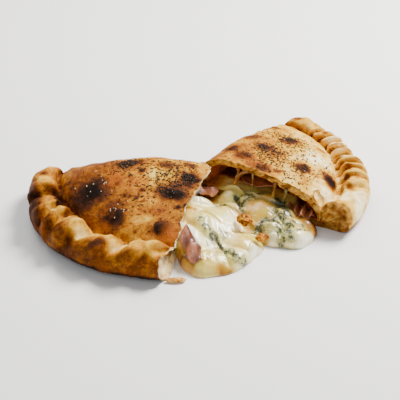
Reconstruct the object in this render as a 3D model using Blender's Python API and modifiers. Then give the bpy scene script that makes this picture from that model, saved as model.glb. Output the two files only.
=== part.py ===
"""A calzone torn in two and pulled apart, with its filling run out between the halves.

Every edible piece is one closed solid. Sizes are in millimetres until a mesh is made.
Plan positions in the sizes below are measured from a point near the hinge between the halves,
+X to the right, +Y away from the eater, +Z up from the table. The "layout" empty then brings
the middle of the table area that the calzone covers to the origin.
"""

import math

import bmesh
import bpy
import numpy as np
from mathutils import Euler, Vector

MM = 0.001
LAYOUT_SHIFT = (2.3, 6.8, 0.0)

# The dough.
ROPE_SQUARENESS = 0.82  # under 1 is fuller than a round rope
EAR_SWELL = 0.16  # how much thicker the rope is at the tip of the half-moon
FLOOR_THICKNESS = 5.0
ROOF_THICKNESS = 6.5
SEAM_THICKNESS = 9.0  # the roof where it goes down into the rope
FOLD_BACK_SHARE = 0.42  # how far up the fold bulges most, as a share of the ridge height
RIDGE_SETBACK = 30.0  # from the fold to the top of the dome
CAVITY_FIRST_TURN = 16.0  # degrees from the tip where the hollow starts
GAP = 0.46  # between touching pieces

# Sides of the coarse solid: points round a section, and sections from the tip to the tear.
ROPE_POINTS, ROOF_POINTS, FOLD_POINTS, BOTTOM_POINTS = 11, 8, 7, 3
SECTIONS_PER_PLEAT = 4
HOLLOW_SECTIONS = 13

LEFT_HALF = {
    "name": "crust_left",
    "corner": (-4.0, 18.0),  # where the fold meets the tear
    "fold_heading": 178.0,  # degrees, from the corner to the tip of the half-moon
    "tear_heading": -102.0,  # from the corner along the tear to the rope
    "fold_length": 150.0,
    "tear_length": 149.0,
    "flat_shoulder": 0.0,  # how much the round edge is flattened half-way
    "ridge_turns": (0, 14, 30, 48, 68, 90),
    "ridge_heights": (22.0, 28.0, 38.5, 46.0, 48.0, 44.5),
    "rope_width": 28.0,  # the rolled, pleated edge
    "rope_height": 25.0,
    "crease_height": 17.0,
    "roof_powers": (0.6, 0.8),  # at the tip and at the tear, lower is plumper
    "pleats": 8,
    "pleat_depth": 0.13,
    "tear_reach": (0.0, 4.5, 8.0, 16.0, 1.5),  # past the tear line: rope, seam, roof, ridge, fold
}
RIGHT_HALF = {
    "name": "crust_right",
    "corner": (-3.6, 10.9),
    "fold_heading": 48.5,
    "tear_heading": -27.5,
    "fold_length": 146.0,
    "tear_length": 150.5,
    "flat_shoulder": 0.055,
    "ridge_turns": (0, 15, 30, 45, 64, 90),
    "ridge_heights": (25.0, 29.0, 34.0, 39.5, 44.5, 47.0),
    "rope_width": 26.0,
    "rope_height": 25.0,
    "crease_height": 17.0,
    "roof_powers": (0.52, 0.5),
    "pleats": 9,
    "pleat_depth": 0.10,
    "tear_reach": (0.0, 0.5, 0.5, 3.0, -0.5),
}

# The cheese that has run out, as a fan of sections from the hinge between the two tears:
# (heading, reach, top height half-way).
CHEESE_HINGE_OFFSET = 0.65  # from both tear planes
CHEESE_START = 11.0  # from the hinge
CHEESE_TOP_POINTS = 9
CHEESE_LOBES = (
    (-100.5, 101.0, 26.5),
    (-97.0, 114.0, 25.5),
    (-92.5, 124.0, 23.5),
    (-87.0, 128.0, 21.0),
    (-81.5, 127.5, 19.0),
    (-76.0, 125.5, 17.5),
    (-71.0, 120.0, 16.5),
    (-66.5, 111.0, 16.0),
    (-62.5, 101.5, 15.5),
    (-59.5, 99.0, 15.5),
    (-56.5, 107.0, 15.5),
    (-52.5, 114.5, 16.0),
    (-48.5, 122.0, 16.5),
    (-44.0, 126.5, 17.0),
    (-39.0, 128.5, 17.0),
    (-34.0, 128.0, 16.0),
    (-29.5, 120.0, 15.0),
)

# The filling left inside each half: its top from the tip to the tear, and how far it goes
# from the ridge towards the rope.
FILL_FIRST_SECTION = 2
FILL_TURNS = (0, 40, 70, 90)
LEFT_FILL = {"tops": (14.0, 21.0, 25.0, 26.5), "share": 0.84}
RIGHT_FILL = {"tops": (11.0, 16.0, 18.0, 18.0), "share": 0.68}
FILL_OVERRUN = 2.2  # past the tear line, into the cheese outside

# Strings of cheese up to the torn roof of the right half: points with radii.
CHEESE_STRINGS = {
    "string_long": (
        (27.0, -7.0, 13.0, 5.0),
        (29.0, -7.0, 21.0, 3.2),
        (31.0, -7.0, 28.0, 2.3),
        (33.0, -7.2, 33.5, 2.1),
        (37.5, -9.5, 37.0, 1.7),
    ),
    "string_branch": ((32.6, -7.1, 32.5, 1.7), (32.6, -7.2, 35.5, 1.5), (32.8, -7.8, 37.6, 1.3)),
    "string_short": (
        (62.0, -24.0, 13.0, 4.0),
        (63.0, -24.2, 21.0, 2.2),
        (64.5, -24.5, 27.5, 1.7),
        (65.0, -25.4, 31.0, 1.9),
    ),
}

# Ham in waves: (middle, heading, length, width, waves, wave height, fall per mm along).
HAM_THICKNESS = 2.6
HAM_SLICES = {
    "ham_front": ((-11.4, -97.4, 21.6), -73, 25, 15, 1.5, 2.0, -0.55),
    "ham_corner": ((6.2, -9.5, 17.5), -18, 16, 12, 1.0, 1.5, -0.1),
    "ham_inside": ((52.0, -6.0, 24.0), -28, 32, 18, 1.0, 1.5, 0.0),
    "ham_back": ((88.5, -38.5, 15.0), -27, 22, 17, 1.5, 1.8, -0.1),
}
# Lumps: (middle, length, width and height, heading).
CRUMBS = {
    "toasted_crumb_large": ((36.5, -60.0, 21.0), (11.0, 9.0, 7.0), -20),
    "toasted_crumb_small": ((51.0, -76.5, 12.0), (9.0, 8.0, 6.0), 30),
    "crust_shred": ((-22.5, -122.5, 2.0), (18.0, 5.5, 4.0), 3),
}


def unit(degrees):
    return np.array([math.cos(math.radians(degrees)), math.sin(math.radians(degrees))])


def signed_power(x, power):
    return np.sign(x) * np.abs(x) ** power


def smooth_curve(x, xs, ys):
    """A curve through the points (xs, ys), bent like a spline batten."""
    xs, ys = np.array(xs, float), np.array(ys, float)
    slopes = np.gradient(ys, xs)
    i = np.clip(np.searchsorted(xs, x) - 1, 0, len(xs) - 2)
    step = xs[i + 1] - xs[i]
    t = np.clip((x - xs[i]) / step, 0, 1)
    a, b = ys[i], ys[i + 1]
    c, d = slopes[i] * step, slopes[i + 1] * step
    return a + t * (c + t * (3 * (b - a) - 2 * c - d + t * (2 * (a - b) + c + d)))


def plan_of_sections(half, turn):
    """Where each section leaves the fold, and where it ends at the outside of the rope.

    A section is an upright slice of a half. Its turn runs from 0 degrees at the tip of the
    half-moon, where the fold ends, to 90 degrees at the tear.
    """
    corner = np.array(half["corner"])
    out, across = unit(half["fold_heading"]), unit(half["tear_heading"])
    reach = half["fold_length"] - half["rope_width"]
    start = corner + np.outer(reach * (1 - turn / 90), out)
    angle = np.radians(turn)
    size = 1 - half["flat_shoulder"] * np.sin(2 * angle) ** 2
    end = (
        corner
        + np.outer(half["fold_length"] * np.cos(angle) * size, out)
        + np.outer(half["tear_length"] * np.sin(angle) * size, across)
    )
    return start, end


def ridge_setback(half, turn, crease):
    """Distance along a section from the fold to the top of the dome, square to the fold."""
    start, end = plan_of_sections(half, turn)
    along = (end - start) / np.linalg.norm(end - start, axis=1, keepdims=True)
    out = unit(half["fold_heading"])
    slant = np.abs(along[:, 0] * out[1] - along[:, 1] * out[0])[:, None]
    return np.minimum(RIDGE_SETBACK / slant, 0.5 * crease)


def pleat_wave(phase):
    """A rounded saw-tooth from -1 to 1: each pleat swells slowly and tucks in fast."""
    share = np.mod(phase, 1.0)
    swell = np.where(share < 0.78, share / 0.78, (1 - share) / 0.22)
    return 2 * np.sin(np.pi / 2 * swell) ** 1.2 - 1


def roof_rise(t, power):
    """Rise from the crease (0) to the ridge (1): steep out of the crease, level on top."""
    return (1 - (1 - t) ** 1.5) ** power


def roof_power(half, turn):
    at_tip, at_tear = half["roof_powers"]
    return (at_tip + (at_tear - at_tip) * (turn / 90) ** 3)[:, None]


def end_rounding(turn, first, length):
    """Size of a section near the closed end, from 0 to 1 over a quarter round."""
    t = np.clip((turn - first) / length, 0, 1)
    return np.sqrt(1 - (1 - t) ** 2)


def fold_round(setback, ridge, back, floor):
    """The rounded back of a section, from the ridge round the fold to the floor."""
    bulge = FOLD_BACK_SHARE * ridge
    angle = np.radians(np.linspace(90, -90, FOLD_POINTS + 1))[None, 1:]
    upper = np.sin(angle) >= -1e-9
    reach = np.where(upper, setback - back, (setback - back) * 0.45)
    middle = np.where(upper, setback, back + (setback - back) * 0.45)
    rise = np.where(upper, ridge - bulge, bulge - floor)
    return middle - reach * np.cos(angle), bulge + rise * np.sin(angle)


def outer_sections(half, turn):
    """The outside of the dough: (distance from the fold, height), a row for each section."""
    start, end = plan_of_sections(half, turn)
    length = np.linalg.norm(end - start, axis=1)[:, None]
    ridge = smooth_curve(turn, half["ridge_turns"], half["ridge_heights"])[:, None]
    width = half["rope_width"]
    middle = length - width / 2
    pleat = half["pleats"] * turn[:, None] / 90

    around = np.radians(np.linspace(-90, 164, ROPE_POINTS))[None, :]
    ear = EAR_SWELL * np.exp(-((turn[:, None] / 10) ** 2))
    swell = 1 + ear + half["pleat_depth"] * pleat_wave(pleat - 0.22 * around)
    high = (1 + signed_power(np.sin(around), ROPE_SQUARENESS)) / 2
    rope_q = middle + width / 2 * signed_power(np.cos(around), ROPE_SQUARENESS) * swell
    rope_z = half["rope_height"] * high * (1 + (swell - 1) * high)

    crease_q, crease_z = rope_q[:, -1:], rope_z[:, -1:]
    setback = ridge_setback(half, turn, crease_q)
    t = (np.linspace(0, 1, ROOF_POINTS + 1)[None, 1:]) ** 1.35
    roof_q = crease_q + (setback - crease_q) * t
    roof_z = crease_z + (ridge - crease_z) * roof_rise(t, roof_power(half, turn))

    fold_q, fold_z = fold_round(setback, ridge, 0.0, 0.0)
    foot = fold_q[:, -1:]
    share = np.linspace(0, 1, BOTTOM_POINTS + 1)[None, 1:-1]
    bottom_q = foot + (rope_q[:, :1] - foot) * share
    q = np.hstack([rope_q, roof_q, fold_q, bottom_q])
    z = np.hstack([rope_z, roof_z, fold_z, np.zeros_like(bottom_q)])

    size = end_rounding(turn, 0.0, 9.0)[:, None]
    return middle + (q - middle) * size, z * (0.35 + 0.65 * size)


def inner_sections(half, turn):
    """The wall of the hollow, with as many points in each part as the outside has."""
    start, end = plan_of_sections(half, turn)
    length = np.linalg.norm(end - start, axis=1)[:, None]
    ridge = smooth_curve(turn, half["ridge_turns"], half["ridge_heights"])[:, None]
    front = length - half["rope_width"] - 4.0
    seam = half["crease_height"] - SEAM_THICKNESS
    around = np.radians(np.linspace(-90, 90, ROPE_POINTS))[None, :]
    front_q = front + 6.0 * np.cos(around)
    front_z = (seam + FLOOR_THICKNESS) / 2 + (seam - FLOOR_THICKNESS) / 2 * np.sin(around)
    front_z = front_z + np.zeros_like(front_q)

    setback = ridge_setback(half, turn, front)
    t = (np.linspace(0, 1, ROOF_POINTS + 1)[None, 1:]) ** 1.35
    roof_q = front + (setback - front) * t
    roof_z = seam + (ridge - ROOF_THICKNESS - seam) * roof_rise(t, roof_power(half, turn))

    fold_q, fold_z = fold_round(setback, ridge - ROOF_THICKNESS, ROOF_THICKNESS, FLOOR_THICKNESS)
    foot = fold_q[:, -1:]
    share = np.linspace(0, 1, BOTTOM_POINTS + 1)[None, 1:-1]
    bottom_q = foot + (front - foot) * share
    q = np.hstack([front_q, roof_q, fold_q, bottom_q])
    z = np.hstack([front_z, roof_z, fold_z, np.full_like(bottom_q, FLOOR_THICKNESS)])

    size = end_rounding(turn, CAVITY_FIRST_TURN, 12.0)[:, None]
    centre_q, centre_z = q.mean(axis=1, keepdims=True), z.mean(axis=1, keepdims=True)
    shrink = 0.25 + 0.75 * size
    return centre_q + (q - centre_q) * shrink, centre_z + (z - centre_z) * shrink


def tear_offset(half):
    """How far the torn edge stands past the tear line at each point round the section."""
    at_rope, at_seam, at_roof, at_ridge, at_fold = half["tear_reach"]
    rope = np.linspace(0, 1, ROPE_POINTS) ** 4 * (at_seam - at_rope) + at_rope
    roof = np.interp(
        np.linspace(0, 1, ROOF_POINTS + 1)[1:], (0, 0.5, 1), (at_seam, at_roof, at_ridge)
    )
    fold = np.interp(
        np.linspace(0, 1, FOLD_POINTS + 1)[1:], (0, 0.35, 0.7, 1), (at_ridge, at_fold, 0, 0)
    )
    reach = np.concatenate([rope, roof, fold, np.zeros(BOTTOM_POINTS - 1)])
    number = np.arange(len(reach))
    ragged = 0.5 * np.sin(2.7 * number) + 0.4 * np.sin(1.3 * number)
    level = (number < 2) | (number > len(reach) - BOTTOM_POINTS - 3)
    return reach + np.where(level, 0, ragged)


def place(half, turn, q, z, reach):
    """Sections as points in space. Near the tear they stretch out to the torn edge."""
    start, end = plan_of_sections(half, turn)
    along = (end - start) / np.linalg.norm(end - start, axis=1, keepdims=True)
    xy = start[:, None, :] + along[:, None, :] * q[:, :, None]
    out, across = unit(half["fold_heading"]), unit(half["tear_heading"])
    outward = -(out - across * (out @ across))
    outward /= np.linalg.norm(outward)
    near = np.clip((turn - 62) / 28, 0, 1)[:, None] ** 1.6
    xy = xy + outward * (near * reach[None, :])[:, :, None]
    return np.concatenate([xy, z[:, :, None]], axis=2)


def add_grid(rings, first, faces, flip=False):
    """Quads between successive closed rings of points that are numbered from first."""
    rows, around = rings.shape[:2]
    for i in range(rows - 1):
        for j in range(around):
            k = (j + 1) % around
            a, b = first + i * around + j, first + i * around + k
            quad = (a, b, b + around, a + around)
            faces.append(quad[::-1] if flip else quad)


def add_fan(ring, middle, faces, flip=False):
    """Triangles that close a ring onto one point."""
    for j, point in enumerate(ring):
        fan = (middle, ring[(j + 1) % len(ring)], point)
        faces.append(fan[::-1] if flip else fan)


def crust(half, material):
    """One half of the dough: pleated rope, domed roof, fold and floor round a hollow."""
    turn = np.linspace(0.6, 90, half["pleats"] * SECTIONS_PER_PLEAT + 1)
    reach = tear_offset(half)
    outside = place(half, turn, *outer_sections(half, turn), reach)
    hollow_turn = np.linspace(CAVITY_FIRST_TURN, 90, HOLLOW_SECTIONS)
    inside = place(half, hollow_turn, *inner_sections(half, hollow_turn), reach - 0.8)

    around = outside.shape[1]
    first_in = outside.shape[0] * around
    points = [*outside.reshape(-1, 3), *inside.reshape(-1, 3)]
    tip, end = len(points), len(points) + 1
    points += [outside[0].mean(axis=0), inside[0].mean(axis=0)]
    faces = []
    add_grid(outside, 0, faces)
    add_grid(inside, first_in, faces, flip=True)
    add_fan(range(around), tip, faces)
    add_fan(range(first_in, first_in + around), end, faces, flip=True)
    last_out = (outside.shape[0] - 1) * around
    last_in = first_in + (inside.shape[0] - 1) * around
    for j in range(around):
        k = (j + 1) % around
        faces.append((last_out + j, last_out + k, last_in + k, last_in + j))
    mesh = bpy.data.meshes.new(half["name"])
    mesh.from_pydata([Vector(p) * MM for p in points], [], faces)
    return add_object(half["name"], mesh, material)


def line_crossing(point_a, heading_a, point_b, heading_b):
    """Where two lines in the plan cross."""
    a, b = unit(heading_a), unit(heading_b)
    step = np.array(point_b) - np.array(point_a)
    along = (step[0] * b[1] - step[1] * b[0]) / (a[0] * b[1] - a[1] * b[0])
    return np.array(point_a) + along * a


def cheese_hinge():
    """The point from which the cheese fans out, a gap away from both tear planes."""
    left, right = LEFT_HALF, RIGHT_HALF
    from_left = np.array(left["corner"]) + CHEESE_HINGE_OFFSET * unit(left["tear_heading"] + 90)
    from_right = np.array(right["corner"]) + CHEESE_HINGE_OFFSET * unit(right["tear_heading"] - 90)
    return line_crossing(from_left, left["tear_heading"], from_right, right["tear_heading"])


def cheese_rise(share, heading):
    """Height along a section as a share of its top: lower at the hinge, then a rounded lip."""
    near = np.interp(heading, (-100, -90), (0.58, 0.45))
    levels = (near, near + 0.16, near + 0.44, 1, 0.93, 0.74, 0.56, 0.27)
    return np.interp(share, (0, 0.12, 0.3, 0.45, 0.65, 0.82, 0.93, 1), levels)


def cheese_section(heading, reach, top, lip=2.5):
    """A closed ring of points: along the top to the front lip, then back along the table."""
    hinge, along = cheese_hinge(), unit(heading)
    share = np.linspace(0, 1, CHEESE_TOP_POINTS) ** 0.85
    distance = CHEESE_START + (reach - CHEESE_START) * share
    height = np.maximum(top * cheese_rise(share, heading), lip)
    ring = [(*(hinge + r * along), z) for r, z in zip(distance, height)]
    low = CHEESE_START + (reach - CHEESE_START) * np.array((0.66, 0.33, 0.0))
    for r, z in ((reach + 0.8, 2.0), (reach - 0.8, 0.0), *((r, 0.0) for r in low)):
        ring.append((*(hinge + r * along), z))
    return ring


def filling_rings(half, fill):
    """The hollow of a half, a gap inside its walls and level at the height of the filling."""
    turn = np.linspace(CAVITY_FIRST_TURN, 90, HOLLOW_SECTIONS)[FILL_FIRST_SECTION:]
    q, z = inner_sections(half, turn)
    upper = FOLD_POINTS // 2
    blocks = (ROPE_POINTS, ROOF_POINTS, upper, FOLD_POINTS - upper, BOTTOM_POINTS - 1)
    q = q + GAP * np.repeat((-1.1, 0.0, 1.1, 1.1, 0.0), blocks)
    z = z + GAP * np.repeat((-0.5, -1.6, -0.5, 1.0, 1.0), blocks)
    ridge = ridge_setback(half, turn, q.max(axis=1, keepdims=True))
    q = np.minimum(q, ridge) + np.maximum(q - ridge, 0) * fill["share"]
    top = smooth_curve(turn, FILL_TURNS, fill["tops"])[:, None] - 0.04 * np.abs(q - 60)
    z = np.clip(z, FLOOR_THICKNESS + GAP, top)
    return place(half, turn, q, z, np.full(q.shape[1], FILL_OVERRUN))


def melted_cheese(material):
    """The filling: it runs through both halves and has spread between them on the table."""
    left, right = LEFT_HALF["tear_heading"], RIGHT_HALF["tear_heading"]
    first, last = CHEESE_LOBES[0], CHEESE_LOBES[-1]
    lip = FLOOR_THICKNESS + GAP + 1.5
    rings = [cheese_section(left, first[1] - 3, first[2] + 1, lip)]
    for heading, reach, top in CHEESE_LOBES:
        rings.append(cheese_section(heading, reach, top))
    rings.append(cheese_section(right, last[1] - 6, last[2], lip))
    pool = loft("melted_cheese", np.array(rings), material)
    join(pool, loft("filling_left", filling_rings(LEFT_HALF, LEFT_FILL)))
    join(pool, loft("filling_right", filling_rings(RIGHT_HALF, RIGHT_FILL)))
    for name, points in CHEESE_STRINGS.items():
        join(pool, cheese_string(name, points))
    return pool


def loft(name, rings, material=None):
    """A solid through closed rings that each lie in a plane, with a flat face at each end."""
    faces = []
    add_grid(rings, 0, faces)
    around = rings.shape[1]
    first = list(range(around))
    last = list(range((len(rings) - 1) * around, len(rings) * around))
    faces += [first[::-1], last]
    mesh = bpy.data.meshes.new(name)
    mesh.from_pydata([Vector(p) * MM for p in rings.reshape(-1, 3)], [], faces)
    return add_object(name, mesh, material)


def cheese_string(name, points):
    """A thin strand: a tapered curve, made a closed mesh so that it can be joined."""
    curve = bpy.data.curves.new(name, "CURVE")
    curve.dimensions = "3D"
    curve.bevel_depth = MM
    curve.bevel_resolution = 1
    curve.use_fill_caps = True
    spline = curve.splines.new("POLY")
    spline.points.add(len(points) - 1)
    for point, (x, y, z, radius) in zip(spline.points, points):
        point.co = (x * MM, y * MM, z * MM, 1.0)
        point.radius = radius
    guide = bpy.data.objects.new(name + "_curve", curve)
    bpy.data.collections["cutters"].objects.link(guide)
    evaluated = guide.evaluated_get(bpy.context.evaluated_depsgraph_get())
    mesh = bpy.data.meshes.new_from_object(evaluated)
    mesh.name = name
    bpy.data.objects.remove(guide)
    welded = bmesh.new()
    welded.from_mesh(mesh)
    bmesh.ops.remove_doubles(welded, verts=welded.verts, dist=0.00001)
    welded.to_mesh(mesh)
    welded.free()
    return add_object(name, mesh, None)


def join(body, tool):
    """Unites a tool with a body."""
    union = body.modifiers.new(tool.name, "BOOLEAN")
    union.operation = "UNION"
    union.solver = "EXACT"
    union.object = tool


def ham_slice(name, middle, heading, length, width, waves, wave_height, fall, material):
    """A slice of ham in waves along its length: z = wave_height * sin(2 pi waves s)."""
    sheet = bmesh.new()
    bmesh.ops.create_grid(sheet, x_segments=14, y_segments=4, size=0.5)
    for vert in sheet.verts:
        s, t = vert.co.x, vert.co.y
        narrow = 1 - 0.35 * (2 * s) ** 4
        lean = 0.25 * wave_height * math.cos(2 * math.pi * waves * s)
        wave = wave_height * math.sin(2 * math.pi * waves * s)
        x, y = s * length + lean, t * width * narrow
        vert.co = Vector((x, y, wave + fall * s * length + 0.6 * (2 * t) ** 2)) * MM
    mesh = bpy.data.meshes.new(name)
    sheet.to_mesh(mesh)
    sheet.free()
    shape = add_object(name, mesh, material)
    shape.location = Vector(middle) * MM
    shape.rotation_euler = Euler((0, 0, math.radians(heading)))
    solid = shape.modifiers.new("thickness", "SOLIDIFY")
    solid.thickness = HAM_THICKNESS * MM
    solid.offset = 0
    return shape


def crumb(name, middle, size, heading, material):
    """A lumpy flattened ball."""
    ball = bmesh.new()
    bmesh.ops.create_uvsphere(ball, u_segments=12, v_segments=8, radius=0.5)
    for vert in ball.verts:
        around = math.atan2(vert.co.y, vert.co.x)
        up = 2 * vert.co.z
        lump = 1 + 0.10 * math.sin(3 * around + 4 * up) + 0.06 * math.cos(5 * around - 3 * up)
        lump = 1 if abs(up) > 0.99 else lump
        x, y = vert.co.x * lump * size[0], vert.co.y * lump * size[1]
        vert.co = Vector((x, y, vert.co.z * size[2])) * MM
    mesh = bpy.data.meshes.new(name)
    ball.to_mesh(mesh)
    ball.free()
    shape = add_object(name, mesh, material)
    shape.location = Vector(middle) * MM
    shape.rotation_euler = Euler((0, 0, math.radians(heading)))
    return shape


def add_object(name, mesh, material):
    """Puts a mesh under the layout empty, faces outwards. One with no material is a tool."""
    built = bmesh.new()
    built.from_mesh(mesh)
    if all(not edge.is_boundary for edge in built.edges):
        bmesh.ops.recalc_face_normals(built, faces=built.faces)
    built.to_mesh(mesh)
    built.free()
    mesh.shade_smooth()
    mesh.set_sharp_from_angle(angle=math.radians(50))
    shape = bpy.data.objects.new(name, mesh)
    shape.parent = bpy.data.objects["layout"]
    if material is None:
        bpy.data.collections["cutters"].objects.link(shape)
        shape.hide_render = True
        shape.display_type = "WIRE"
    else:
        mesh.materials.append(material)
        bpy.data.collections["calzone"].objects.link(shape)
    return shape


def food_material(name, colour, roughness):
    material = bpy.data.materials.new(name)
    material.use_nodes = True
    shader = material.node_tree.nodes["Principled BSDF"]
    shader.inputs["Base Color"].default_value = (*colour, 1.0)
    shader.inputs["Roughness"].default_value = roughness
    shader.inputs["Metallic"].default_value = 0.0
    return material


def clear_scene():
    for old in list(bpy.data.objects):
        bpy.data.objects.remove(old)
    for name in ("calzone", "cutters"):
        collection = bpy.data.collections.new(name)
        bpy.context.scene.collection.children.link(collection)
    layout = bpy.data.objects.new("layout", None)
    layout.location = Vector(LAYOUT_SHIFT) * MM
    bpy.data.collections["calzone"].objects.link(layout)
    bpy.context.view_layer.update()


def main():
    clear_scene()
    crust(LEFT_HALF, food_material("golden_dough", (0.42, 0.19, 0.05), 0.7))
    crust(RIGHT_HALF, food_material("pale_dough", (0.66, 0.47, 0.30), 0.75))
    melted_cheese(food_material("molten_cheese", (0.68, 0.57, 0.36), 0.3))
    for name, sizes in HAM_SLICES.items():
        ham_slice(name, *sizes, food_material(name + "_meat", (0.44, 0.21, 0.14), 0.35))
    for name, sizes in CRUMBS.items():
        crumb(name, *sizes, food_material(name + "_toast", (0.58, 0.32, 0.10), 0.6))


main()
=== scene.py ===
# A calzone torn in two, dressed over its plain solids: baked and charred dough, molten cheese,
# ham, herbs and crumbs. Lengths are in millimetres until a mesh is made, +Z up from the table.
import math

import bpy
import numpy as np
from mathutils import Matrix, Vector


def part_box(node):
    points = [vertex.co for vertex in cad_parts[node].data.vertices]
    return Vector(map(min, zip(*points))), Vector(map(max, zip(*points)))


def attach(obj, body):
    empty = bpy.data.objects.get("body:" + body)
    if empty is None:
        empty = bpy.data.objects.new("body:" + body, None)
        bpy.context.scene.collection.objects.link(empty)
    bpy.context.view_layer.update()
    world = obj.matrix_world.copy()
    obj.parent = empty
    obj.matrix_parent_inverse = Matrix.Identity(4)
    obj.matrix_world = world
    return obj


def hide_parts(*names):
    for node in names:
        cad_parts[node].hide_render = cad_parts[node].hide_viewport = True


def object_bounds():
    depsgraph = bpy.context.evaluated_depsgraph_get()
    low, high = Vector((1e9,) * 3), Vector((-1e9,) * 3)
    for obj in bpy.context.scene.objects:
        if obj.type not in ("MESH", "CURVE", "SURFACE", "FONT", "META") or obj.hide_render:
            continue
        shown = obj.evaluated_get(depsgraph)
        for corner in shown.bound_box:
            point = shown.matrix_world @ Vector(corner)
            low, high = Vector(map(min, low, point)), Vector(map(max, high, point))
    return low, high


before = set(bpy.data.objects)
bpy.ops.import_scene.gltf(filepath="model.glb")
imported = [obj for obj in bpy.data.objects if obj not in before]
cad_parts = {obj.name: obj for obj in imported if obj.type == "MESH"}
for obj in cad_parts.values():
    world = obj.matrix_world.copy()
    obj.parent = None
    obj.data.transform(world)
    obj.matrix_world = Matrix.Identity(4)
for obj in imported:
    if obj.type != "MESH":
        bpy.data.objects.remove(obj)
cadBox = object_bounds()
mm = 0.001


def insideBox(points):
    # nothing stands out of the box of the plain solids
    return np.clip(points, np.array(cadBox[0]) / mm + (0.05, 0.05, 0), np.array(cadBox[1]) / mm - 0.05)


def corners(node):
    return [np.array(corner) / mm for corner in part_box(node)]


# ---- numbers that vary smoothly ----

randomTables = [np.random.default_rng(seed).uniform(-1, 1, (32, 32, 32)) for seed in range(12)]


def noise(points, grain, seed=0):
    # smooth lumps from -1 to 1: random values on a cubic lattice of side grain, blended between
    table = randomTables[seed % len(randomTables)]
    place = points / grain + 11.7 + 3.1 * seed
    cell = np.floor(place).astype(int)
    part = place - cell
    part = part * part * (3 - 2 * part)
    total = np.zeros(points.shape[:-1])
    for dx in (0, 1):
        for dy in (0, 1):
            for dz in (0, 1):
                weight = np.where(dx, part[..., 0], 1 - part[..., 0])
                weight = weight * np.where(dy, part[..., 1], 1 - part[..., 1])
                weight = weight * np.where(dz, part[..., 2], 1 - part[..., 2])
                x, y, z = ((cell[..., i] + (dx, dy, dz)[i]) % 32 for i in range(3))
                total += weight * table[x, y, z]
    return total


def fractal(points, grain, seed=0, octaves=3):
    # noise with finer noise on top: each octave has half the grain and half the height
    total = sum(noise(points, grain / 2**i, seed + i) / 2**i for i in range(octaves))
    return total / (2 - 2 ** (1 - octaves))


def smoothStep(low, high, x):
    t = np.clip((x - low) / (high - low), 0, 1)
    return t * t * (3 - 2 * t)


def batten(x, xs, ys):
    # a curve through the points (xs, ys), bent like a spline batten
    xs, ys = np.array(xs, float), np.array(ys, float)
    slopes = np.gradient(ys, xs)
    i = np.clip(np.searchsorted(xs, x) - 1, 0, len(xs) - 2)
    step = xs[i + 1] - xs[i]
    t = np.clip((x - xs[i]) / step, 0, 1)
    a, b, c, d = ys[i], ys[i + 1], slopes[i] * step, slopes[i + 1] * step
    return a + t * (c + t * (3 * (b - a) - 2 * c - d + t * (2 * (a - b) + c + d)))


def unit(degrees):
    return np.array([math.cos(math.radians(degrees)), math.sin(math.radians(degrees))])


def blendedValue(points, anchors, spread):
    # each anchor (x, y, value) counts by exp(-distance^2 / 2 spread^2), and the values average
    total, weights = 0.0, 1e-9
    for x, y, value in anchors:
        gap = (points[..., 0] - x) ** 2 + (points[..., 1] - y) ** 2
        weight = np.exp(-gap / (2 * spread**2)) + 1e-7 / (1 + gap)
        total, weights = total + weight * value, weights + weight
    return total / weights


# ---- meshes from rings of points ----


def normalsOf(rings):
    # across the two directions of the grid, turned to point away from the middle of each ring
    along = np.gradient(rings, axis=0)
    around = np.roll(rings, -1, axis=1) - np.roll(rings, 1, axis=1)
    normals = np.cross(around, along)
    normals /= np.linalg.norm(normals, axis=2, keepdims=True) + 1e-9
    outward = rings - rings.mean(axis=1, keepdims=True)
    sign = 1 if (normals * outward).sum() > 0 else -1
    return normals * sign


def ringMesh(name, rings, masks=None):
    # quads between successive closed rings, and a fan of triangles on each end
    rows, around = rings.shape[:2]
    start = np.arange(rows - 1)[:, None] * around
    this, following = np.arange(around)[None, :], np.roll(np.arange(around), -1)[None, :]
    quads = np.stack(
        [start + this, start + following, start + around + following, start + around + this], axis=-1
    ).reshape(-1, 4)
    first, last = rows * around, rows * around + 1
    head = np.stack([np.full(around, first), following[0], this[0]], axis=-1)
    tail = np.stack([np.full(around, last), this[0], following[0]], axis=-1)
    tail[:, 1:] += (rows - 1) * around
    points = np.concatenate([rings.reshape(-1, 3), rings[[0, -1]].mean(axis=1)])
    mesh = bpy.data.meshes.new(name)
    faces = quads.tolist() + head.tolist() + tail.tolist()
    mesh.from_pydata((points * mm).tolist(), [], faces)
    for title, values in (masks or {}).items():
        ends = values[[0, -1]].mean(axis=1)
        flat = np.concatenate([values.reshape(-1, values.shape[-1]), ends])
        flat = np.concatenate([flat, np.ones((len(flat), 1))], axis=1)
        layer = mesh.attributes.new(title, "FLOAT_COLOR", "POINT")
        layer.data.foreach_set("color", flat.astype(np.float32).ravel())
    return mesh


def addPiece(name, mesh, finish, *nodes):
    # a finished piece: smooth, on the body, standing for the plain solids named
    piece = bpy.data.objects.new(name, mesh)
    bpy.context.scene.collection.objects.link(piece)
    mesh.calc_loop_triangles()
    co = np.zeros(len(mesh.vertices) * 3)
    mesh.vertices.foreach_get("co", co)
    index = np.zeros(len(mesh.loop_triangles) * 3, int)
    mesh.loop_triangles.foreach_get("vertices", index)
    a, b, c = co.reshape(-1, 3)[index.reshape(-1, 3)].transpose(1, 0, 2)
    signed = (a * np.cross(b, c)).sum()
    if signed < 0:
        mesh.flip_normals()
    mesh.shade_smooth()
    mesh.materials.append(finish)
    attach(piece, "root")
    if nodes:
        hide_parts(*nodes)
    return piece


# ---- shader nodes ----


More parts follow.
